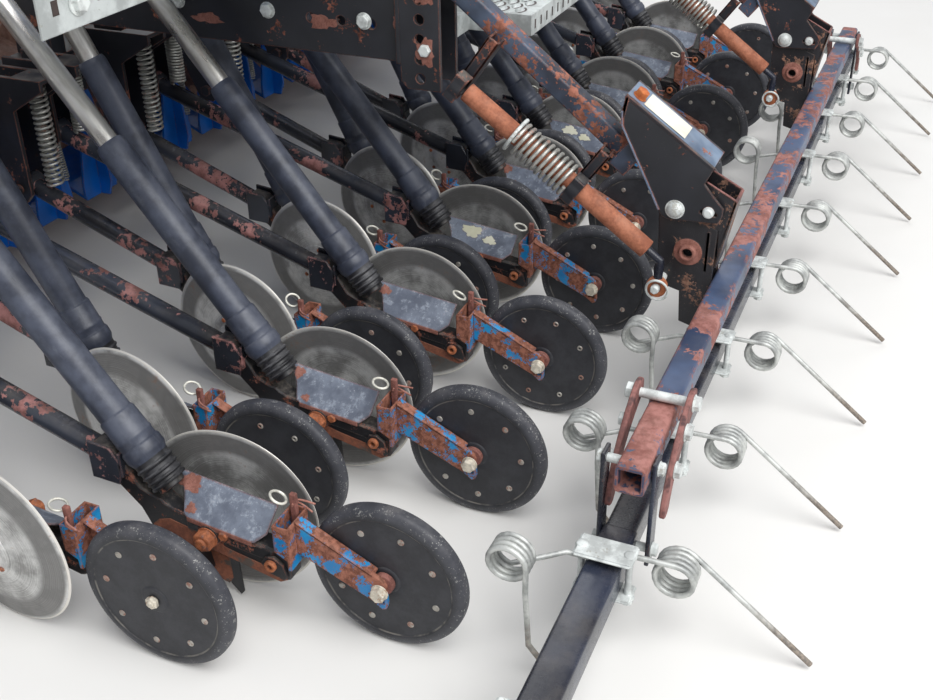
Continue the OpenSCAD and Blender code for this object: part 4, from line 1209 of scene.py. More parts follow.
def drawbar_form(k):
    """The round bar from the casting to its pivot, the eye and the square bracket."""
    eye = Vector((BODY_X, PIVOT_Y - row_step(k), PIVOT_Z[is_rear(k)]))
    foot = Vector((BODY_X, FOOT_Y, FOOT_Z))
    way = (eye - foot).normalized()
    shaft = bar(foot, eye - 14 * way, BAR_R, 28)
    ring = lathe([(8.1, -21), (19, -21), (20, -20), (20, 20), (19, 21), (8.1, 21), (8.1, -21)], 28)
    ring = ring.moved(Matrix.Translation(eye))
    bracket = [(404, 190), (396, 226), (412, 252), (452, 256), (452, 192)]
    sides = [plate(bracket, x, x + 5, 1.2) for x in (-52, -13)]
    back = block(-52, -8, 396, 401, 204, 246, 1.2)
    return joined([shaft, ring] + sides + [back])


piece("drawbars", "frame", in_rows(drawbar_form), ["drawbar_paint"])
print("castings and drawbars done, pivots at", PIVOT_Z[True], "and", PIVOT_Z[False], "mm")

# %% [markdown]
# The shield over the casting is a sloping sheet with a folded lower edge. Blots of rust and
# remains of old glue cling to some of them. Those could be masks in the finish, but each has
# its own place, so they are thin uneven sheets that lie on the slope.


# %% Shields
SHIELD_Z, SHIELD_RISE, SHIELD_SLOPE = 163.0, 0.12, 0.76
SHEET_LIFT, SIDEWAYS, OFF_SIDEWAYS = 3.6, 0.66, 0.6


def shield_z(x, y):
    """The upper side of the shield: it rises ahead and falls away sideways."""
    return SHIELD_Z + SHIELD_RISE * y + SHEET_LIFT + (x + 1) * SHIELD_SLOPE


def on_shield(outline, thick=2.4, lift=0.0):
    """A sheet that lies on the slope of the shield."""
    corners = [(x + OFF_SIDEWAYS * lift, y, shield_z(x, y) + lift) for x, y in outline]
    slab = thickened(corners, (thick * SIDEWAYS, 0, -thick))
    return softened(slab, 0.7 if thick > 1 else 0)


# Row, place across and along the slope, half widths, and finish: 1 is rust, 2 is old glue.
BLOTS = [(7, -17, 268, 13, 26, 2), (7, -25, 226, 9, 17, 2), (11, -16, 268, 12, 24, 2),
    (11, -24, 228, 9, 18, 2), (1, -13, 310, 13, 24, 1), (1, -40, 294, 8, 10, 1),
    (3, -42, 288, 6, 9, 1), (9, -12, 314, 11, 13, 1), (9, -38, 292, 9, 11, 1),
    (5, -14, 312, 9, 14, 1), (13, -38, 286, 8, 14, 1), (10, -20, 250, 12, 20, 2),
    (12, -14, 310, 9, 12, 1), (8, -40, 230, 7, 16, 1), (3, -12, 314, 10, 12, 1)]


def shield_form(k):
    """The sloping sheet, its rusty fold and what clings to it."""
    outline = [(-1, 335), (-1, 172), (-36, 172.5), (-50.5, 187), (-50.5, 296), (-48, 302),
        (-26, 313)]
    fold = block(-51, -48.6, 190, 296, -8, 0, 0.6)
    fold.corners[:, 2] += [shield_z(-50, y) - 0.6 for y in fold.corners[:, 1]]
    clings = [on_shield(blot(x, y, w, h, 1.7 * i + y), 0.5, 0.3).painted(mat)
        for i, (at_row, x, y, w, h, mat) in enumerate(BLOTS) if at_row == k]
    return joined([on_shield(outline), fold.painted(1)] + clings)


piece("shield_sheets", "frame", in_rows(shield_form), ["shield_plate", "blot_rust", "residue"],
    replaces=["shields"])
print(len(BLOTS), "blots on the shields")

# %% [markdown]
# The wheel arm is a blue plate with a lip and a slotted end. It sits in a folded box, next to a
# flat post, and a bolt with a nut holds the wheel on it. The arm could be a block with a slot
# painted on, but the slot is open and one sees the wheel through it, so it is cut.

# %% Wheel arms
ARM_X = (-34, -26)
LIP_Z, LIP_SLOPE = 133.4, 0.483
NUT_OFF = 1.6
ARM = [(126, 194), (12, 139), (3, 136), (-5, 130), (-9, 121), (-10.4, 90), (-8, 83), (-2, 80),
    (12, 91), (126, 140)]
BOX = [(126, 121), (126, 195), (129, 195), (129, 150), (149, 150), (149, 195), (152, 195),
    (152, 148), (132, 137), (132, 121)]


def arm_form(k):
    """The arm with its slot, lip, folded box and spacer: 0 blue paint, 1 rust."""
    slot = [(-5.5, 107), (7, 107), (7, 92), (-5.5, 92)]
    blade = cut_sheet(ARM, [slot], *ARM_X, 1.0)
    lip = block(-34, -16, 10, 126, -3.6, 0, 1.0)
    lip.corners[:, 2] += LIP_Z + LIP_SLOPE * lip.corners[:, 1]
    folded = plate(BOX, -53, 2, 0.8)
    cheeks = [block(x, x + 3, 128, 150, 150, 195, 0.8) for x in (-53, -1)]
    spacer = lathe([(AXLE_R, -26.2), (15.6, -26.2), (16, -25.8), (16, -17.4), (15.4, -16.8),
        (AXLE_R, -16.8)], 28)
    spacer = spacer.moved(shift(0, 0, WHEEL_R)).painted(1)
    return joined([blade, lip, folded] + cheeks + [spacer])


def post_form(k):
    """The flat post in the box."""
    return block(-12, -4, 136, 146, 150, 222, 1.2)


def axle_bolt(k):
    """The bolt through arm and wheel, its washer, and the nut just off the far face."""
    near = bolt(ARM_X[0], 0, WHEEL_R - 6, 20, 10, -1, 13, 13 * k)
    far = bolt(WHEEL_OUT + NUT_OFF, 0, WHEEL_R, 17, 7, 1, 0, 7 * k)
    shaft = bar((ARM_X[0], 0, WHEEL_R), (WHEEL_OUT + 11, 0, WHEEL_R), 5.2, 16, 1.0)
    return joined([near, far, shaft])


print("arms, posts and axle bolts are drawn")

# %% [markdown]
# A wire ring hangs on each post to pull it by, and a split pin locks it. Nineteen of each could
# be bent one by one, each a little differently. Instead one line of points is leaned and swung
# by the number of the row, then rounded and swept, which looks uneven and is still the same
# each time.


# %% Rings and split pins
def circle_line(centre, radius, tilt_x, tilt_y, n=28):
    """A closed ring of points, tilted about X and Y."""
    lean_x = Matrix.Rotation(math.radians(tilt_x), 3, "X")
    lean_y = Matrix.Rotation(math.radians(tilt_y), 3, "Y")
    turn = lean_x @ lean_y
    return [Vector(centre) + turn @ Vector((radius * math.cos(a), radius * math.sin(a), 0))
        for a in (2 * math.pi * i / n for i in range(n + 1))]


def pull_ring(k):
    """The wire ring that hangs on the post."""
    lean = (k * 37) % 50 - 10
    return sweep(circle_line((-14 - k % 4, 161, 214), 12.5, 18 + lean * 0.4, lean * 0.5), 2.1, 8)


def split_pin(k):
    """The two bent legs of the split pin behind the post."""
    swing = ((k * 53) % 17) - 8
    upper = smooth_line([(-14, 140, 206), (-2, 140, 206), (4, 132, 203),
        (9 + swing * 0.3, 116, 201 + swing * 0.3)], 4)
    lower = smooth_line([(-14, 141, 203), (-2, 141, 202), (3, 134, 196),
        (3 + swing * 0.5, 117, 190)], 4)
    return joined([sweep(upper, 1.6, 6), sweep(lower, 1.6, 6)])


piece("arm_blades", "frame", in_rows(arm_form), ["arm_paint", "post_rust"],
    replaces=["wheel_arms"])
piece("arm_posts", "frame", in_rows(post_form), ["post_rust"])
piece("arm_bolts", "frame", in_rows(axle_bolt), ["dusty_bolt"])
piece("pull_rings", "frame", in_rows(pull_ring), ["ring_wire"])
piece("split_pins", "frame", in_rows(split_pin), ["split_pin"])
print("shields and arms done")

# %% [markdown]
# A seed tube is a smooth sleeve that slides over a bright pipe. Its lower end has a collar, a
# ring, a flared band and thin ribs, and sits in the dirty socket of the casting. All of that is
# round, so it is one long profile for the lathe, laid from the socket towards the outlet above.
# The pipe itself is plain and stays the frame's own.

# %% Seed tubes
SLEEVE = [(21.2, 0.2), (27, 0.2), (27.6, 1.4), (27.6, 4), (25.6, 5.4), (25.6, 9), (28.0, 10.8),
    (28.2, 13), (25.8, 15), (25.8, 19), (28.6, 21), (28.8, 23), (26.2, 25), (26.4, 30), (29.2, 33),
    (29.4, 35), (27.0, 37.5), (27.2, 44), (30.6, 52), (31, 54), (31, 66), (29.4, 69), (28.2, 70),
    (28.2, 79), (29, 80.5), (29, 84), (28.1, 85.5), (27.8, 118), (26.8, 121), (25, 122.5),
    (25, 444), (24, 450), (21.6, 455.6), (18.2, 455.6), (18.2, 430)]


def sleeve_form(k):
    """The plastic sleeve of a seed tube: 0 sleeve, 1 dirty boot."""
    made = lathe(SLEEVE, 32)
    made.mats = [1 if np.mean([made.corners[i, 0] for i in f]) < 47 else 0 for f in made.faces]
    return made.moved(along(on_tube(k, 0), on_tube(k, 100)))


piece("tube_sleeves", "frame", in_rows(sleeve_form), ["tube_plastic", "boot_plastic"],
    replaces=["tubes_lower"])
print("sleeves of", SLEEVE[-2][1], "mm on tubes of", round((tube_top(1) - TUBE_FOOT).length), "mm")

# %% [markdown]
# A pressure spring stands on each drawbar under its hanger, and a thin tension spring pulls at
# each scraper. Both are wire wound at an even pitch, which is just what the coil tree makes;
# only the place of their ends has to be worked out from the slope of the bar.

# %% Springs on the drawbars and scrapers
SPRING_BACK, HANGER_Z = 62, 553.5
SCRAPER_Y = 1276
HOOK_X, HOOK_BACK, HOOK_Z, HOOK_SPAN, HOOK_LEAN = 34, 48.3, 190, 120, 6


def drawbar_spring(k):
    """The pressure spring that stands on the drawbar under its hanger."""
    pivot = PIVOT_Z[is_rear(k)]
    slope = (pivot - FOOT_Z) / (PIVOT_Y - row_step(k) - FOOT_Y)
    low = pivot - SPRING_BACK * slope + BAR_R * math.sqrt(1 + slope * slope) + 21 * slope + 3.5
    y = PIVOT_Y - SPRING_BACK - row_step(k)
    return coil((BODY_X, y, low), (BODY_X, y, HANGER_Z), 15, 2.6, 20)


def scraper_spring(k):
    """The thin tension spring beside a scraper."""
    low = Vector((JOINT[f"wheel_turn_{k + 1:02d}"].x + HOOK_X, SCRAPER_Y - HOOK_BACK, HOOK_Z))
    lean = math.radians(HOOK_LEAN)
    high = low + Vector((-math.sin(lean) * HOOK_SPAN, 0, math.cos(lean) * HOOK_SPAN))
    return coil(low + (high - low) * 0.06, low + (high - low) * 0.94, 9, 1.9, 18)


piece("drawbar_springs", "frame", in_rows(drawbar_spring), ["zinc"],
    replaces=["pressure_springs"])
scraper_coils = joined([scraper_spring(k) for k in ROWS]).moved(HOME)
piece("scraper_coils", "frame", scraper_coils, ["zinc"], replaces=["scraper_springs"])
print("tubes and springs done")

# %% [markdown]
# The harrow follows the rows: a rusty square tube with an open end over a black tine bar, and
# curved ears that clamp them together. A solid box would do from afar, but the open end faces
# the camera, so the tube is built from four loops and is hollow. Places along Y are counted
# from the rear wheel axle.

# %% Harrow tubes and ears
HARROW_Y, HARROW_Z, UPPER_W, TUBE_END = -293, 266, 42, 1128
BAR_Y, BAR_Z, TUBE_W = -275, 125, 50
SWING_Y, SWING_Z = -201, 412
STRUT_RING = (-188, 279)
LINK_X = 530


def square_loop(w, corner, n=4):
    """A square with rounded corners as (y, z)."""
    loop = []
    for i, (sy, sz) in enumerate(((1, 1), (-1, 1), (-1, -1), (1, -1))):
        for j in range(n + 1):
            a = math.pi / 2 * (i + j / n)
            loop.append((sy * (w / 2 - corner) + corner * math.cos(a),
                sz * (w / 2 - corner) + corner * math.sin(a)))
    return loop


def square_tube(x0, x1, y, z, w=TUBE_W, wall=5, corner=6):
    """A hollow square tube along X, open at both ends."""
    outer, inner = square_loop(w, corner), square_loop(w - 2 * wall, max(1.0, corner - wall))
    n = len(outer)
    corners = [(x, y + p[0], z + p[1])
        for x, loop in ((x0, outer), (x1, outer), (x1, inner), (x0, inner)) for p in loop]
    faces = [(r * n + i, r * n + (i + 1) % n, (r + 1) % 4 * n + (i + 1) % n, (r + 1) % 4 * n + i)
        for r in range(4) for i in range(n)]
    bm = bmesh.new()
    verts = [bm.verts.new(c) for c in corners]
    for f in faces:
        bm.faces.new([verts[i] for i in f])
    bmesh.ops.recalc_face_normals(bm, faces=bm.faces)
    return from_bmesh(bm)


print("the upper tube is", UPPER_W, "mm square and", 2 * TUBE_END, "mm long")

# %% [markdown]
# Curved ears stand on both sides of the upper tube, with long bolts through them, and flat
# straps hang the tine bar under it. The ears could be bent from bar, but on the machine they
# are cut from plate and have the flat faces and square edges of plate, so their outline is
# drawn and cut. One outline serves all four; the other end gets its mirror image.

# %% Ears and straps
EAR = [(-20, 306), (-17, 311), (-11, 314), (0, 315.6), (8, 315.6), (20, 311), (34, 304), (52, 294),
    (70, 281), (88, 266), (104, 249), (117, 228), (127.6, 206), (131, 194), (131.6, 187),
    (128, 183), (120, 180.4), (112, 182), (105, 188), (99, 202), (91, 215), (80, 230), (66, 244),
    (48, 256), (30, 266), (8, 276), (-14, 284), (-20, 295)]
EAR_X, STRAP_OUT = 957, {-1: 128, 1: 150}


def xz_plate(outline, y0, y1, edge=1.2):
    """A plate drawn in (x, z), from y0 to y1, with y0 the smaller."""
    made = cut_plate(outline, [], y1 - y0, edge)
    upright_face = Matrix(((1, 0, 0, 0), (0, 0, -1, 0), (0, 1, 0, 0), (0, 0, 0, 1)))
    return made.moved(shift(0, (y0 + y1) / 2) @ upright_face)


def bolt_y(x, y, z, size, high, side, washer=0.0, turn=0):
    """A bolt head that stands on the plane y."""
    head = turned(hexagon(size, high, washer), turn)
    return head.moved(shift(x, y, z) @ Matrix.Rotation(math.radians(90 * side), 4, "Z"))


def ears_form(s):
    """One side's curved ears, 0, their zinc bolts, 2, and the straps down to the bar, 3."""
    back, ahead = HARROW_Y - UPPER_W / 2, BAR_Y + TUBE_W / 2
    front, rear = HARROW_Y + UPPER_W / 2 + 14, back - 14
    x, top = s * EAR_X, HARROW_Z + UPPER_W / 2 + 9.3
    outline = [(s * dx, z) for dx, z in EAR]
    parts = [xz_plate(outline, y, y + 8).moved(shift(x)) for y in (front, rear - 8)]
    parts.append(bar((x, rear - 11, top), (x, front + 19, top), 7.4, 18).painted(2))
    parts.append(bolt_y(x, front + 8, top, 22, 11, 1, 15, 10).painted(2))
    parts.append(bolt_y(x, rear - 8, top, 19, 9, -1, 13, 25).painted(2))
    for dx, z in ((40, 272), (88, 240)):
        parts.append(bolt_y(x + s * dx, front + 8, z, 19, 8, 1, 13, 5).painted(2))
        parts.append(bolt_y(x + s * dx, rear - 8, z, 19, 8, -1, 13, 15).painted(2))
    xs = x + s * STRAP_OUT[s]
    for y in (back - 8, ahead):
        parts.append(block(xs - 15, xs + 15, y, y + 6, 104, 280, 1.2).painted(3))
    for z in (HARROW_Z, BAR_Z):
        parts.append(bar((xs, back - 15, z), (xs, ahead + 11, z), 6.8, 14).painted(2))
        parts.append(bolt_y(xs, ahead + 6, z, 17, 7, 1, 11, 20).painted(2))
        parts.append(bolt_y(xs, back - 8, z, 17, 7, -1, 11, 35).painted(2))
    return joined(parts)


print("ears at", EAR_X, "mm either side")

# %% [markdown]
# Under each link a carrier of folded plate takes the upper tube and holds the pin that the
# harrow swings on. It could be one block, but one looks straight into it from behind. So its
# two sides, web and cheeks are plates of their own, with a bushing in the hole and thin pale
# strips where the paint has gone from the folds.

# %% Lower carriers
BUSH = (-227, 332)


def carrier_low(s):
    """The carrier under one link: 0 plates and pivot, 1 bushing, 2 zinc, 3 pale edges."""
    x = s * LINK_X
    seat = HARROW_Y + UPPER_W / 2
    outline = [(-240, 392), (-236, 428), (-224, 440), (-212, 446), (-186, 442), (-170, 424),
        (-176, 314), (-170, 290), (-172, 266), (-218, 255), (-222, 196), (-258, 186), (seat, 240),
        (seat, 292), (-272.4, 306), (-274, 380)]
    parts = [cut_sheet(outline, [(*BUSH, 9)], x + o, x + o + 6, 1.0) for o in (-28, 22)]
    parts.append(block(x - 28, x + 28, -262, -256, 300, 374, 1.0))
    web = [(-296, 437), (-300, 433), (-277, 310), (-272.6, 310)]
    cheek = [(-240, 392), (-274, 380), (-277, 330), (-300, 433), (-298, 436), (-248, 461),
        (-244, 459), (-236, 428)]
    parts.append(plate(web, x - 28, x + 28, 0.8))
    parts += [plate(cheek, x + o, x + o + 4, 0.8) for o in (-28, 24)]
    rim = [(-298, 437.6), (-296.4, 438.6), (-299.4, 433), (-301, 434)]
    parts.append(plate(rim, x - 28.6, x + 28.6, 0.3).painted(3))
    rim = [(-298, 437.6), (-248, 462.6), (-246, 462), (-298, 435.6)]
    parts += [plate(rim, x + o, x + o + 5, 0.4).painted(3) for o in (-28.6, 23.6)]
    parts.append(bar((x - 50, SWING_Y, SWING_Z), (x + 50, SWING_Y, SWING_Z), 9.8, 20))
    parts.append(bar((x - 86, *STRUT_RING), (x - 28, *STRUT_RING), 7.8, 16).painted(2))
    head = lathe([(0, 13), (7, 12.6), (11, 10), (13, 6), (13, 2), (16.6, 1.8), (16.6, -0.4)], 24)
    bush = lathe([(9, -2), (9, 8), (10, 9), (13, 9), (14, 7), (15, 2.2), (22, 2.0), (24.5, 1.0),
        (25, -1)], 28)
    for side in (-1, 1):
        parts.append(head.moved(shift(x + side * 40.4, SWING_Y, SWING_Z) @ facing(side)).painted(2))
        parts.append(bush.moved(shift(x + side * 28, *BUSH) @ facing(side)).painted(1))
    return joined(parts)


BAR_LEFT, STEP_X, BAR_RIGHT = -1510, -1085, 1480
upper = square_tube(-TUBE_END, TUBE_END, HARROW_Y, HARROW_Z, UPPER_W)
bars = [square_tube(BAR_LEFT, STEP_X, BAR_Y, BAR_Z, TUBE_W, 3, 5),
    square_tube(STEP_X - 60, BAR_RIGHT, BAR_Y, BAR_Z, 45, 4, 5)]
piece("harrow_tube", "harrow", upper.moved(HOME), ["harrow_paint"],
    replaces=["harrow_beam"])
piece("tine_bar", "harrow", joined(bars).moved(HOME), ["harrow_black"])
piece("harrow_ears", "harrow", joined([ears_form(s) for s in (-1, 1)]).moved(HOME),
    ["ear_rust", "orange_rust", "clamp_zinc", "harrow_black"])
piece("harrow_carriers", "harrow", joined([carrier_low(s) for s in (-1, 1)]).moved(HOME),
    ["muddy_black", "blot_rust", "clamp_zinc", "ear_rust"])
print("carriers under the links at", LINK_X, "mm either side")

# %% [markdown]
# Ten double tines comb the soil. Each is one wire: a short leg, a front coil, a stretch over
# the bar, a rear coil and a long straight leg. A curve object with a bevel could carry it, but
# the coils are easier to count in degrees, so the line is worked out point by point and swept.
# A galvanised plate with two domed bolts clamps it to the bar.

# %% Tines and clamps
WIRE_R, COIL_R, TINE_OFF, TIP_Y = 4.3, 27.6, -50, -563
FRONT_X, FRONT_COIL_Y, FRONT_TURN = -100, -168, 1332
REAR_X, REAR_COIL_Y, REAR_TURN = 14, -367, 1479
LEG_SLOPE, CLAMP_HALF = 39, 42
TINE_X = [(i - 4.5) * 2 * ROW_GAP + TINE_OFF for i in range(10)]


def tine_form():
    """One double tine: front leg and coil, the stretch over the bar, rear coil and long leg."""
    zw = BAR_Z + TUBE_W / 2 + WIRE_R + 0.2
    fy, fz = FRONT_COIL_Y, zw + COIL_R
    ry, rz = REAR_COIL_Y, zw - COIL_R
    pitch, n = 2 * WIRE_R + 1, 20

    def wound(x, y, z, start, end):
        count = max(2, round(abs(end - start) / 360 * n))
        line = []
        for i in range(count + 1):
            a = math.radians(start + (end - start) * i / count)
            line.append((x + pitch * i / n, y + COIL_R * math.cos(a), z + COIL_R * math.sin(a)))
        return line

    front = wound(FRONT_X, fy, fz, 176, 176 - FRONT_TURN)
    back = wound(REAR_X, ry, rz, 90, 90 + REAR_TURN)
    line = [(FRONT_X, fy - COIL_R - 34, 18), (FRONT_X, fy - COIL_R - 6, 52)]
    line += [(FRONT_X, fy - COIL_R, fz - 40)] + front
    line += [(-34, fy - 30, zw), (-13, BAR_Y + 52, zw), (-12, BAR_Y + 22, zw)]
    line += [(12, BAR_Y - 22, zw), (13, BAR_Y - 52, zw)] + back
    line += [(back[-1][0], TIP_Y + WIRE_R * math.sin(math.radians(LEG_SLOPE)), 9)]
    return sweep(line, WIRE_R - 0.1, 8)


def clamp_form(x):
    """The rounded plate over a tine, its two bolts and the lower plate."""
    z = BAR_Z + TUBE_W / 2 + 2 * WIRE_R + 0.4
    y0, y1 = BAR_Y - CLAMP_HALF, BAR_Y + CLAMP_HALF
    top = block(x - 24, x + 24, y0, y1, z, z + 7, 3.0, 3)
    low = block(x - 20, x + 20, y0, y1, z - 67, z - 61, 2.4, 2)
    parts = [top, low]
    down = Matrix.Rotation(math.radians(90), 4, "Y")
    for y in (BAR_Y - 34, BAR_Y + 34):
        parts.append(bar((x, y, z - 78), (x, y, z + 3), 5, 12))
        dome = lathe([(0, 5.2), (4, 5), (8, 3.2), (9.6, 0), (9.6, -1)], 18)
        parts.append(dome.moved(shift(x, y, z + 5) @ X_TO_Z))
        parts.append(hexagon(16, 9, 10).moved(shift(x, y, z - 67) @ down))
    return joined(parts)


tine_base = tine_form()
tines = joined([tine_base.moved(shift(x)) for x in TINE_X])
clamps = joined([clamp_form(x) for x in TINE_X])
piece("tine_wires", "harrow", tines.moved(HOME), ["tine_steel"], replaces=["tines"],
    smooth=60)
piece("clamp_plates", "harrow", clamps.moved(HOME), ["clamp_zinc"],
    replaces=["tine_clamps"])
print("harrow done, tines at", [round(x) for x in TINE_X])

# %% [markdown]
# Two link arms carry the harrow. Each has a box arm, an upper carrier with a bright strip on
# its flange, two brackets that guide a spring strut, and a pin between the posts. The carrier
# is folded sheet: two cut sides, a flange and thin lips, each a plate of its own, because the
# worn pale edges of the fold are what one sees first.

# %% Harrow links
LINK_A, LINK_B = Vector((0, -118, 478)), Vector((0, 268, 780))
STRUT_X = -70
STRUT_END, STRUT_TOP = Vector((STRUT_X, -166, 345)), Vector((STRUT_X, 190, 600))
STRUT_WAY = (STRUT_TOP - STRUT_END).normalized()
LOW_BOLT = (-257, 415)
# Distances along a strut, counted from the lower end of its tube.
TUBE_LONG, COLLAR, COIL_SPAN, SEAT_AT = 403.5, (291, 297), (174.5, 288), 171
GUIDES = ((160, 84), (420, 104))
SIDE = [(-106, 598), (-259, 493), (-254, 480), (-246, 463), (-266, 440), (-281, 424), (-280, 410),
    (-274, 397), (-189, 392), (-180, 395), (-172, 406), (-100, 545), (-99, 570)]


def tilt_of(way):
    """The turn about X that lays +Y along a way."""
    return Matrix.Rotation(math.atan2(way.z, way.y), 4, "X")


def link_box(p, q, w, wall=4, corner=5):
    """A square box tube from p to q, open at both ends."""
    length = (q - p).length
    tube = square_tube(0, length, 0, 0, w, wall, corner)
    turn = tilt_of(q - p) @ Matrix.Rotation(math.pi / 2, 4, "Z")
    return tube.moved(Matrix.Translation(p) @ turn)


def strut_guide(s, reach):
    """A bracket that a strut slides through, as a frame of bars, 0 black paint."""
    c = STRUT_END + s * STRUT_WAY
    turn = Matrix.Translation(c) @ tilt_of(STRUT_WAY)
    collar = lathe([(20.1, -11), (23.4, -11), (24, -10), (24, 10), (23.4, 11), (20.1, 11),
        (20.1, -11)], 28)
    parts = [collar.moved(Matrix.Rotation(math.pi / 2, 4, "Z"))]
    parts.append(block(-23, -17, -11, 11, -24, 24, 1.0))
    parts.append(block(19, 60, -11, -7, -10, reach - 12, 1.0))
    parts.append(block(19, 60, 7, 11, -10, reach - 12, 1.0))
    parts.append(block(19, 25, -11, 11, -10, reach - 12, 1.0))
    return joined(parts).moved(turn)


def link_form(s):
    """One link arm: 0 arm, 1 carrier, 2 seat, 3 zinc, 4 pale flange, 5 strip, 6 orange bolt."""
    arm = link_box(LINK_A, LINK_B, 36)
    seat_turn = Matrix.Translation(LINK_A) @ tilt_of((LINK_B - LINK_A).normalized())
    seat_block = block(-34, 34, -6, 28, -26, 26, 1.5).moved(seat_turn)
    holes = [(-246, 414, 3.5), (-268, 412, 3.5)]
    sides = [cut_sheet(SIDE, holes, x, x + 6, 1.0) for x in (-40, 34)]
    lip = [(-172, 406), (-100, 545), (-99, 570), (-102, 570), (-103, 546), (-175, 407)]
    lips = [plate(lip, x, x + 3, 0.6) for x in (-42, 39)]
    flange = plate([(-106, 597.6), (-258.5, 492.8), (-256.5, 489), (-104, 593)], -39.6, 39.6, 0.8)
    strip = plate([(-132, 580.4), (-203, 531.6), (-203.4, 530.9), (-132.4, 579.6)], -27, 27, 0.1)
    strip = strip.moved(shift(0, -0.4, 0.6))
    end_plate = plate([(-110, 592), (-102, 548), (-98, 552), (-104, 596)], -40, 40, 0.6)
    parts = [arm, seat_block.painted(2), flange.painted(4), strip.painted(5), end_plate.painted(1)]
    parts += [f.painted(1) for f in sides] + [f.painted(4) for f in lips]
    parts += [strut_guide(at, reach).painted(1) for at, reach in GUIDES]
    on_flange = Matrix.Rotation(math.atan2(104.8, 152.5), 4, "X")
    up = Matrix.Rotation(math.radians(-90), 4, "Y")
    parts.append(hexagon(20, 12, 12).moved(shift(-14, -121, 587.6) @ on_flange @ up).painted(6))
    dome = [(0, 8), (6, 7.6), (8.8, 5), (10, 0), (10, -1)]
    parts.append(lathe(dome, 20).moved(shift(-40, *LOW_BOLT) @ mirror_x()).painted(3))
    parts.append(bolt(40, *LOW_BOLT, 18, 8, 1, 12).painted(3))
    parts.append(bar((-30, 260.5, 776), (30, 260.5, 776), 8.8, 16).painted(3))
    return joined(parts).moved(shift(s * LINK_X))


piece("link_arms", "frame", joined([link_form(s) for s in (-1, 1)]).moved(HOME),
    ["link_paint", "black_paint", "link_paint", "clamp_zinc", "pale_flange", "pale_strip",
        "orange_rust"], replaces=["harrow_links"])
print("the carrier's sides have", len(SIDE), "corners")

# %% [markdown]
# A spring strut slides through the two brackets: a rusty tube with a collar, a bent rod, an eye
# on the harrow's pin, and a coil spring between bracket and collar. When the harrow swings up,
# the tube slides on and the spring gets shorter. Scaling it by hand at each pose would not do,
# and no squash is set here: the coils ride on the frame, each with a mesh of its own.


# %% Spring struts
def strut_form():
    """Tube, collar and bent rod with its eye: 0 rust, 1 zinc, 2 black rod, 3 rusty eye."""
    knee = STRUT_END - 30 * STRUT_WAY
    eye = Vector((STRUT_X, *STRUT_RING))
    tube = bar(STRUT_END, STRUT_END + TUBE_LONG * STRUT_WAY, 17, 32)
    collar = bar(*(STRUT_END + s * STRUT_WAY for s in COLLAR), 33, 36, 1.6)
    rod = sweep([STRUT_END + 4 * STRUT_WAY, knee, knee * 0.7 + eye * 0.3,
        eye + 14 * (knee - eye).normalized()], 7.6, 14)
    ring = lathe([(8.3, -7), (17, -7), (18, -6), (18, 6), (17, 7), (8.3, 7), (8.3, -7)], 28)
    ring = ring.moved(Matrix.Translation(eye))
    split = sweep(circle_line(eye + Vector((-10.5, -3, -2)), 19, 0, 84, 30), 2.2, 8)
    head = bolt(STRUT_X - 10, eye.y, eye.z, 13, 7, -1, 8)
    return joined([tube, collar.painted(1), rod.painted(2), ring.painted(3), split.painted(1),
        head.painted(1)])


for name, body, s in (("strut_left", "strut_l", -1), ("strut_right", "strut_r", 1)):
    piece(name + "_dressed", body, strut_form().moved(HOME @ shift(s * LINK_X)),
        ["strut_rust", "clamp_zinc", "harrow_black", "bolt_rust"], replaces=[name])
low, high = (STRUT_END + s * STRUT_WAY for s in COIL_SPAN)
sideways = [Vector((s * LINK_X, 0, 0)) for s in (-1, 1)]
springs = [coil(low + side, high + side, 27, 3.4, 11) for side in sideways]
springs = joined(springs).moved(HOME)
coils = piece("strut_coils", "frame", springs, ["zinc"], replaces=["strut_springs"])
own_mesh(coils)
print("links and struts done")

# %% [markdown]
# The tread of the walkway and of the middle step is a folded sheet with lens shaped louvres;
# its flange has a line of slots and a few bolts. Bump could fake the louvres from above, but
# their raised edge shows against the light, so each is a small lid of a few dozen faces. A grid
# copies them, twice, with the second set between the first.

# %% Walkway
WALK_HALF, WALK_Y, WALK_D, WALK_Z = 1400, 300, 340, 940
STEP_Y, STEP_D, STEP_Z, STEP_W = 107, 250, 672, 880
LOUVRE_GAP_X, LOUVRE_GAP_Y, LENS_STEPS = 50, 34, 9


def louvre(long=34, wide=8, high=4.0):
    """A lens shaped bulge of sheet, open like a lid, standing on the origin."""
    corners, faces = [], []
    for i in range(LENS_STEPS):
        t = i / (LENS_STEPS - 1) * 2 - 1
        half = wide * (1 - t * t) + 0.05
        rise = high * (1 - t * t)
        for u, lift in ((-1, -0.6), (-0.35, 0.9), (0.35, 1.0), (1, 0.55)):
            corners.append((t * long / 2, u * half, rise * lift if lift > 0 else -0.4))
    for i in range(LENS_STEPS - 1):
        for j in range(3):
            a = i * 4 + j
            faces.append((a, a + 4, a + 5, a + 1))
    base = len(corners)
    for x, y, z in corners[:base]:
        corners.append((x, y, z - 1.2))
    faces += [tuple(base + i for i in f[::-1]) for f in faces[:]]
    for i in range(LENS_STEPS - 1):
        for j, flip in ((0, 1), (3, -1)):
            a = i * 4 + j
            quad = (a, base + a, base + a + 4, a + 4)
            faces.append(quad[::flip])
    faces += [(0, 1, base + 1, base), (1, 2, base + 2, base + 1), (2, 3, base + 3, base + 2)]
    last = (LENS_STEPS - 1) * 4
    faces += [(last + j + 1, last + j, base + last + j, base + last + j + 1) for j in range(3)]
    return Form(corners, faces)


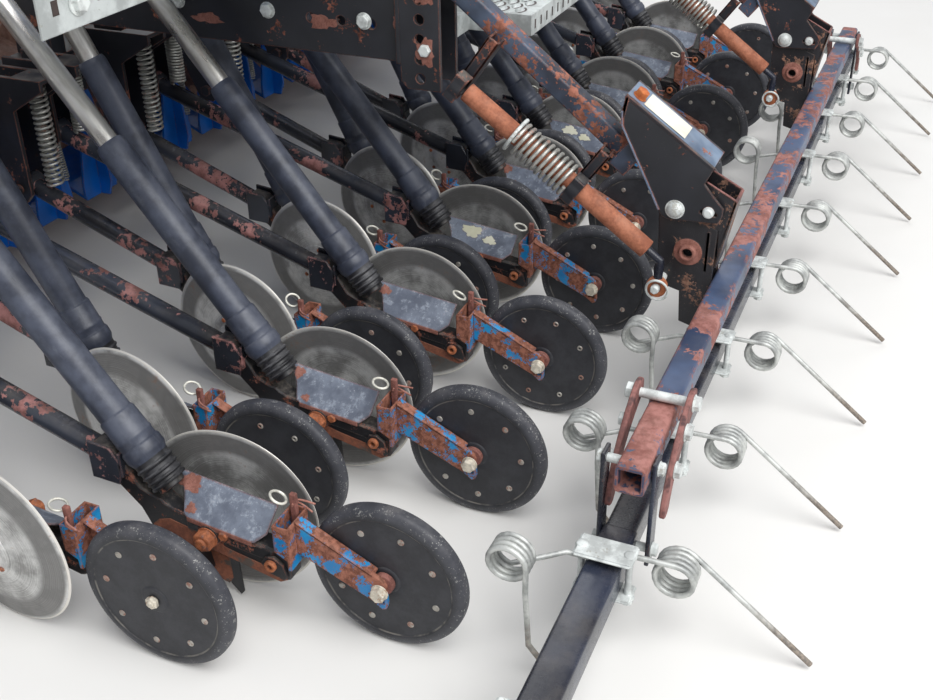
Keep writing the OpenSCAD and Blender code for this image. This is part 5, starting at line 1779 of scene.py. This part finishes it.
def opening_and_shadow(long=36, wide=7):
    """A dark crescent under a louvre, just over the sheet: partly the opening under the lid, partly a painted
    shadow on the sheet beside it.
    """
    corners = []
    for i in range(LENS_STEPS):
        t = i / (LENS_STEPS - 1) * 2 - 1
        bulge = wide * (1 - t * t)
        # Past the lid's edge the dark crescent is painted shadow on the sheet.
        corners += [(t * long / 2, -1 - bulge - 3.2, 0.3), (t * long / 2, -bulge * 0.4, 0.3)]
    faces = [(2 * i, 2 * i + 2, 2 * i + 3, 2 * i + 1) for i in range(LENS_STEPS - 1)]
    return Form(corners, faces)


def tread_louvres(x0, x1, y0, y1, z):
    """Two sets of louvres, the second between the first: 0 sheet, 1 dark opening with painted shadow."""
    across, deep = round((x1 - x0) / LOUVRE_GAP_X), round((y1 - y0) / LOUVRE_GAP_Y)
    wide, long = x1 - x0 - 50.0, y1 - y0 - 40.0
    parts = []
    for shape, finish, mat in ((louvre(), "galvanised", 0), (opening_and_shadow(), "dark_slot", 1)):
        whole = copies_of(GRID, shape, finish, Across=across, Along=deep, Width=wide, Depth=long)
        between = copies_of(GRID, shape, finish, Across=across - 1, Along=deep - 1,
            Width=wide * (across - 2) / (across - 1), Depth=long * (deep - 2) / (deep - 1))
        parts += [whole.painted(mat), between.painted(mat)]
    return joined(parts).moved(shift((x0 + x1) / 2, (y0 + y1) / 2, z))


def flange_slot_shade(x, half, y, z):
    """A dark slot, 16 mm high, in a flange that looks back: a thin block of painted shade where the slot is."""
    return block(x - half, x + half, y - 0.35, y + 0.2, z, z + 16, 0).painted(1)


def walkway_trim():
    """Louvres, slot plates and bolts: 0 galvanised, 1 dark slot of painted shade and louvre opening with painted
    shadow, 2 bolt.
    """
    parts = [tread_louvres(-WALK_HALF, WALK_HALF, WALK_Y + 14, WALK_Y + WALK_D - 4, WALK_Z),
        tread_louvres(-STEP_W / 2, STEP_W / 2, STEP_Y + 10, STEP_Y + STEP_D - 4, STEP_Z)]
    for x in range(-1374, 1390, 73):
        parts.append(flange_slot_shade(x, 5, WALK_Y, WALK_Z - 55))
    for x in range(-1338, 1360, 292):
        parts.append(bolt_y(x, WALK_Y, WALK_Z - 49, 19, 8, -1, 15, x % 50).painted(2))
    for x in range(-420, 430, 30):
        parts.append(flange_slot_shade(x, 3, STEP_Y, STEP_Z - 27))
    for s in (-1, 1):
        parts.append(bolt(s * (STEP_W / 2 + 16), 262, STEP_Z - 16, 18, 8, -s, 12).painted(2))
    return joined(parts)


piece("tread_louvres", "frame", walkway_trim().moved(HOME),
    ["galvanised", "dark_slot", "clamp_zinc"])
print("the tread has", ADDED[-1][1], "triangles")

# %% [markdown]
# Bolts hold the posts, the long channels and the side plates, and rust has run from many of
# them. The rust could be part of the finish, but noise doesn't know where the bolts are. So the
# blots are thin uneven sheets again, under the bolt heads.

# %% Bolts on the posts and stands
POST_Y, POST_HALF, CHANNEL_X, SIDE_PLATE_X = 252, 38, 555, 1531


def skin(outline, x, side):
    """A blot of rust on an upright face at x that looks to one side."""
    return plate(outline, x - 0.2 * side, x + 0.35 * side, 0).painted(1)


def frame_bolts():
    """Zinc bolts on blots of rust, on the posts, the long channels and the side plates."""
    parts = []
    for s in (-1, 1):
        for side in (-1, 1):
            x = s * LINK_X + side * POST_HALF
            for z in (631, 733, 801):
                parts.append(bolt(x, POST_Y, z, 19, 9, side, 0, z % 60))
                parts.append(skin(blot(POST_Y, z - 4, 21, 31, z + s), x, side))
        x = s * CHANNEL_X
        for y, z in ((374, 666), (568, 667), (760, 668), (960, 666)):
            parts.append(bolt(x, y, z, 22, 7, s, 15, y % 60))
        for y, z, w, h in ((297, 669, 24, 26), (457, 656, 34, 16), (700, 640, 40, 12),
                (880, 690, 26, 14)):
            parts.append(skin(blot(y, z, w, h, y), x, s))
        for y, z in ((1320, 740), (1400, 800), (1560, 740), (1620, 800), (1150, 470), (1150, 500)):
            parts.append(bolt(s * SIDE_PLATE_X, y, z, 24, 11, s, 17, y % 50))
    return joined(parts)


piece("frame_bolts", "frame", frame_bolts().moved(HOME), ["clamp_zinc", "blot_rust"])
print(len(ADDED), "pieces,", sum(n for _, n in ADDED), "triangles, largest",
    max(ADDED, key=lambda a: a[1]))

# %% [markdown]
# The floor is plain and pale and keeps the shadow. A large soft lamp from behind and above
# gives the broad highlights of an overcast sky, and the world fills the rest; small lamps would
# give hard sparks that a cloudy day doesn't have. The camera stands behind the left end of the
# drill, at chest height, and looks down along the rows.

# %% Floor, light and camera
PICTURE_W = 933
FOCAL_PX = 1147.2  # fitted, with the place and the angles, to the known distance of the rows
SENSOR = 36.0
CAMERA_AT = (-2.3239, -1.2362, 1.2037)
CAMERA_YAW, CAMERA_PITCH, CAMERA_ROLL = 23.4, 31.1, 0.7


def floor_finish():
    """Pale and plain, with the faintest mottling."""
    f = Finish("floor")
    tone = f.noise(3.0, 3.0)
    return f.done(f.mix(tone, linear(226, 224, 220), linear(232, 231, 228)), 0.9)


def make_floor():
    """A wide floor under the wheels."""
    mesh = bpy.data.meshes.new("floor")
    reach = 30.0
    corners = [(x * reach, y * reach, 0) for x, y in ((-1, -1), (1, -1), (1, 1), (-1, 1))]
    mesh.from_pydata(corners, [], [(0, 1, 2, 3)])
    mesh.materials.append(floor_finish())
    floor = bpy.data.objects.new("floor", mesh)
    bpy.context.scene.collection.objects.link(floor)


def make_lamp(name, at, target, size, watts):
    """A square soft lamp that looks at a point."""
    data = bpy.data.lights.new(name, "AREA")
    data.size, data.energy = size, watts
    lamp = bpy.data.objects.new(name, data)
    lamp.location = at
    lamp.rotation_euler = (Vector(target) - Vector(at)).to_track_quat("-Z", "Y").to_euler()
    bpy.context.scene.collection.objects.link(lamp)


def make_camera():
    """The camera, from its place and its yaw, pitch and roll."""
    yaw, pitch, roll = (math.radians(v) for v in (CAMERA_YAW, CAMERA_PITCH, CAMERA_ROLL))
    ahead = Vector((math.cos(pitch) * math.cos(yaw), math.cos(pitch) * math.sin(yaw),
        -math.sin(pitch)))
    right = ahead.cross(Vector((0, 0, 1))).normalized()
    above = right.cross(ahead)
    tilt = Matrix.Rotation(roll, 3, ahead)
    right, above = tilt @ right, tilt @ above
    turn = Matrix((right, above, -ahead)).transposed()
    data = bpy.data.cameras.new("camera")
    data.sensor_width = SENSOR
    data.lens = FOCAL_PX / PICTURE_W * SENSOR
    data.clip_end = 200
    camera = bpy.data.objects.new("camera", data)
    camera.matrix_world = Matrix.Translation(CAMERA_AT) @ turn.to_4x4()
    bpy.context.scene.collection.objects.link(camera)
    bpy.context.scene.camera = camera
    print("lens", round(data.lens, 1), "mm")


make_floor()
make_lamp("sky", (-2.5, -3.5, 5.0), (0, 0, 0.2), size=5.0, watts=420)
make_lamp("fill", (4.5, 2.0, 4.5), (0, 0, 0.4), size=4.0, watts=120)
world = bpy.data.worlds.new("studio")
world.use_nodes = True
background = world.node_tree.nodes["Background"]
background.inputs["Color"].default_value = (0.78, 0.8, 0.84, 1)
background.inputs["Strength"].default_value = 0.62
bpy.context.scene.world = world
bpy.context.scene.view_settings.view_transform = "Standard"
make_camera()
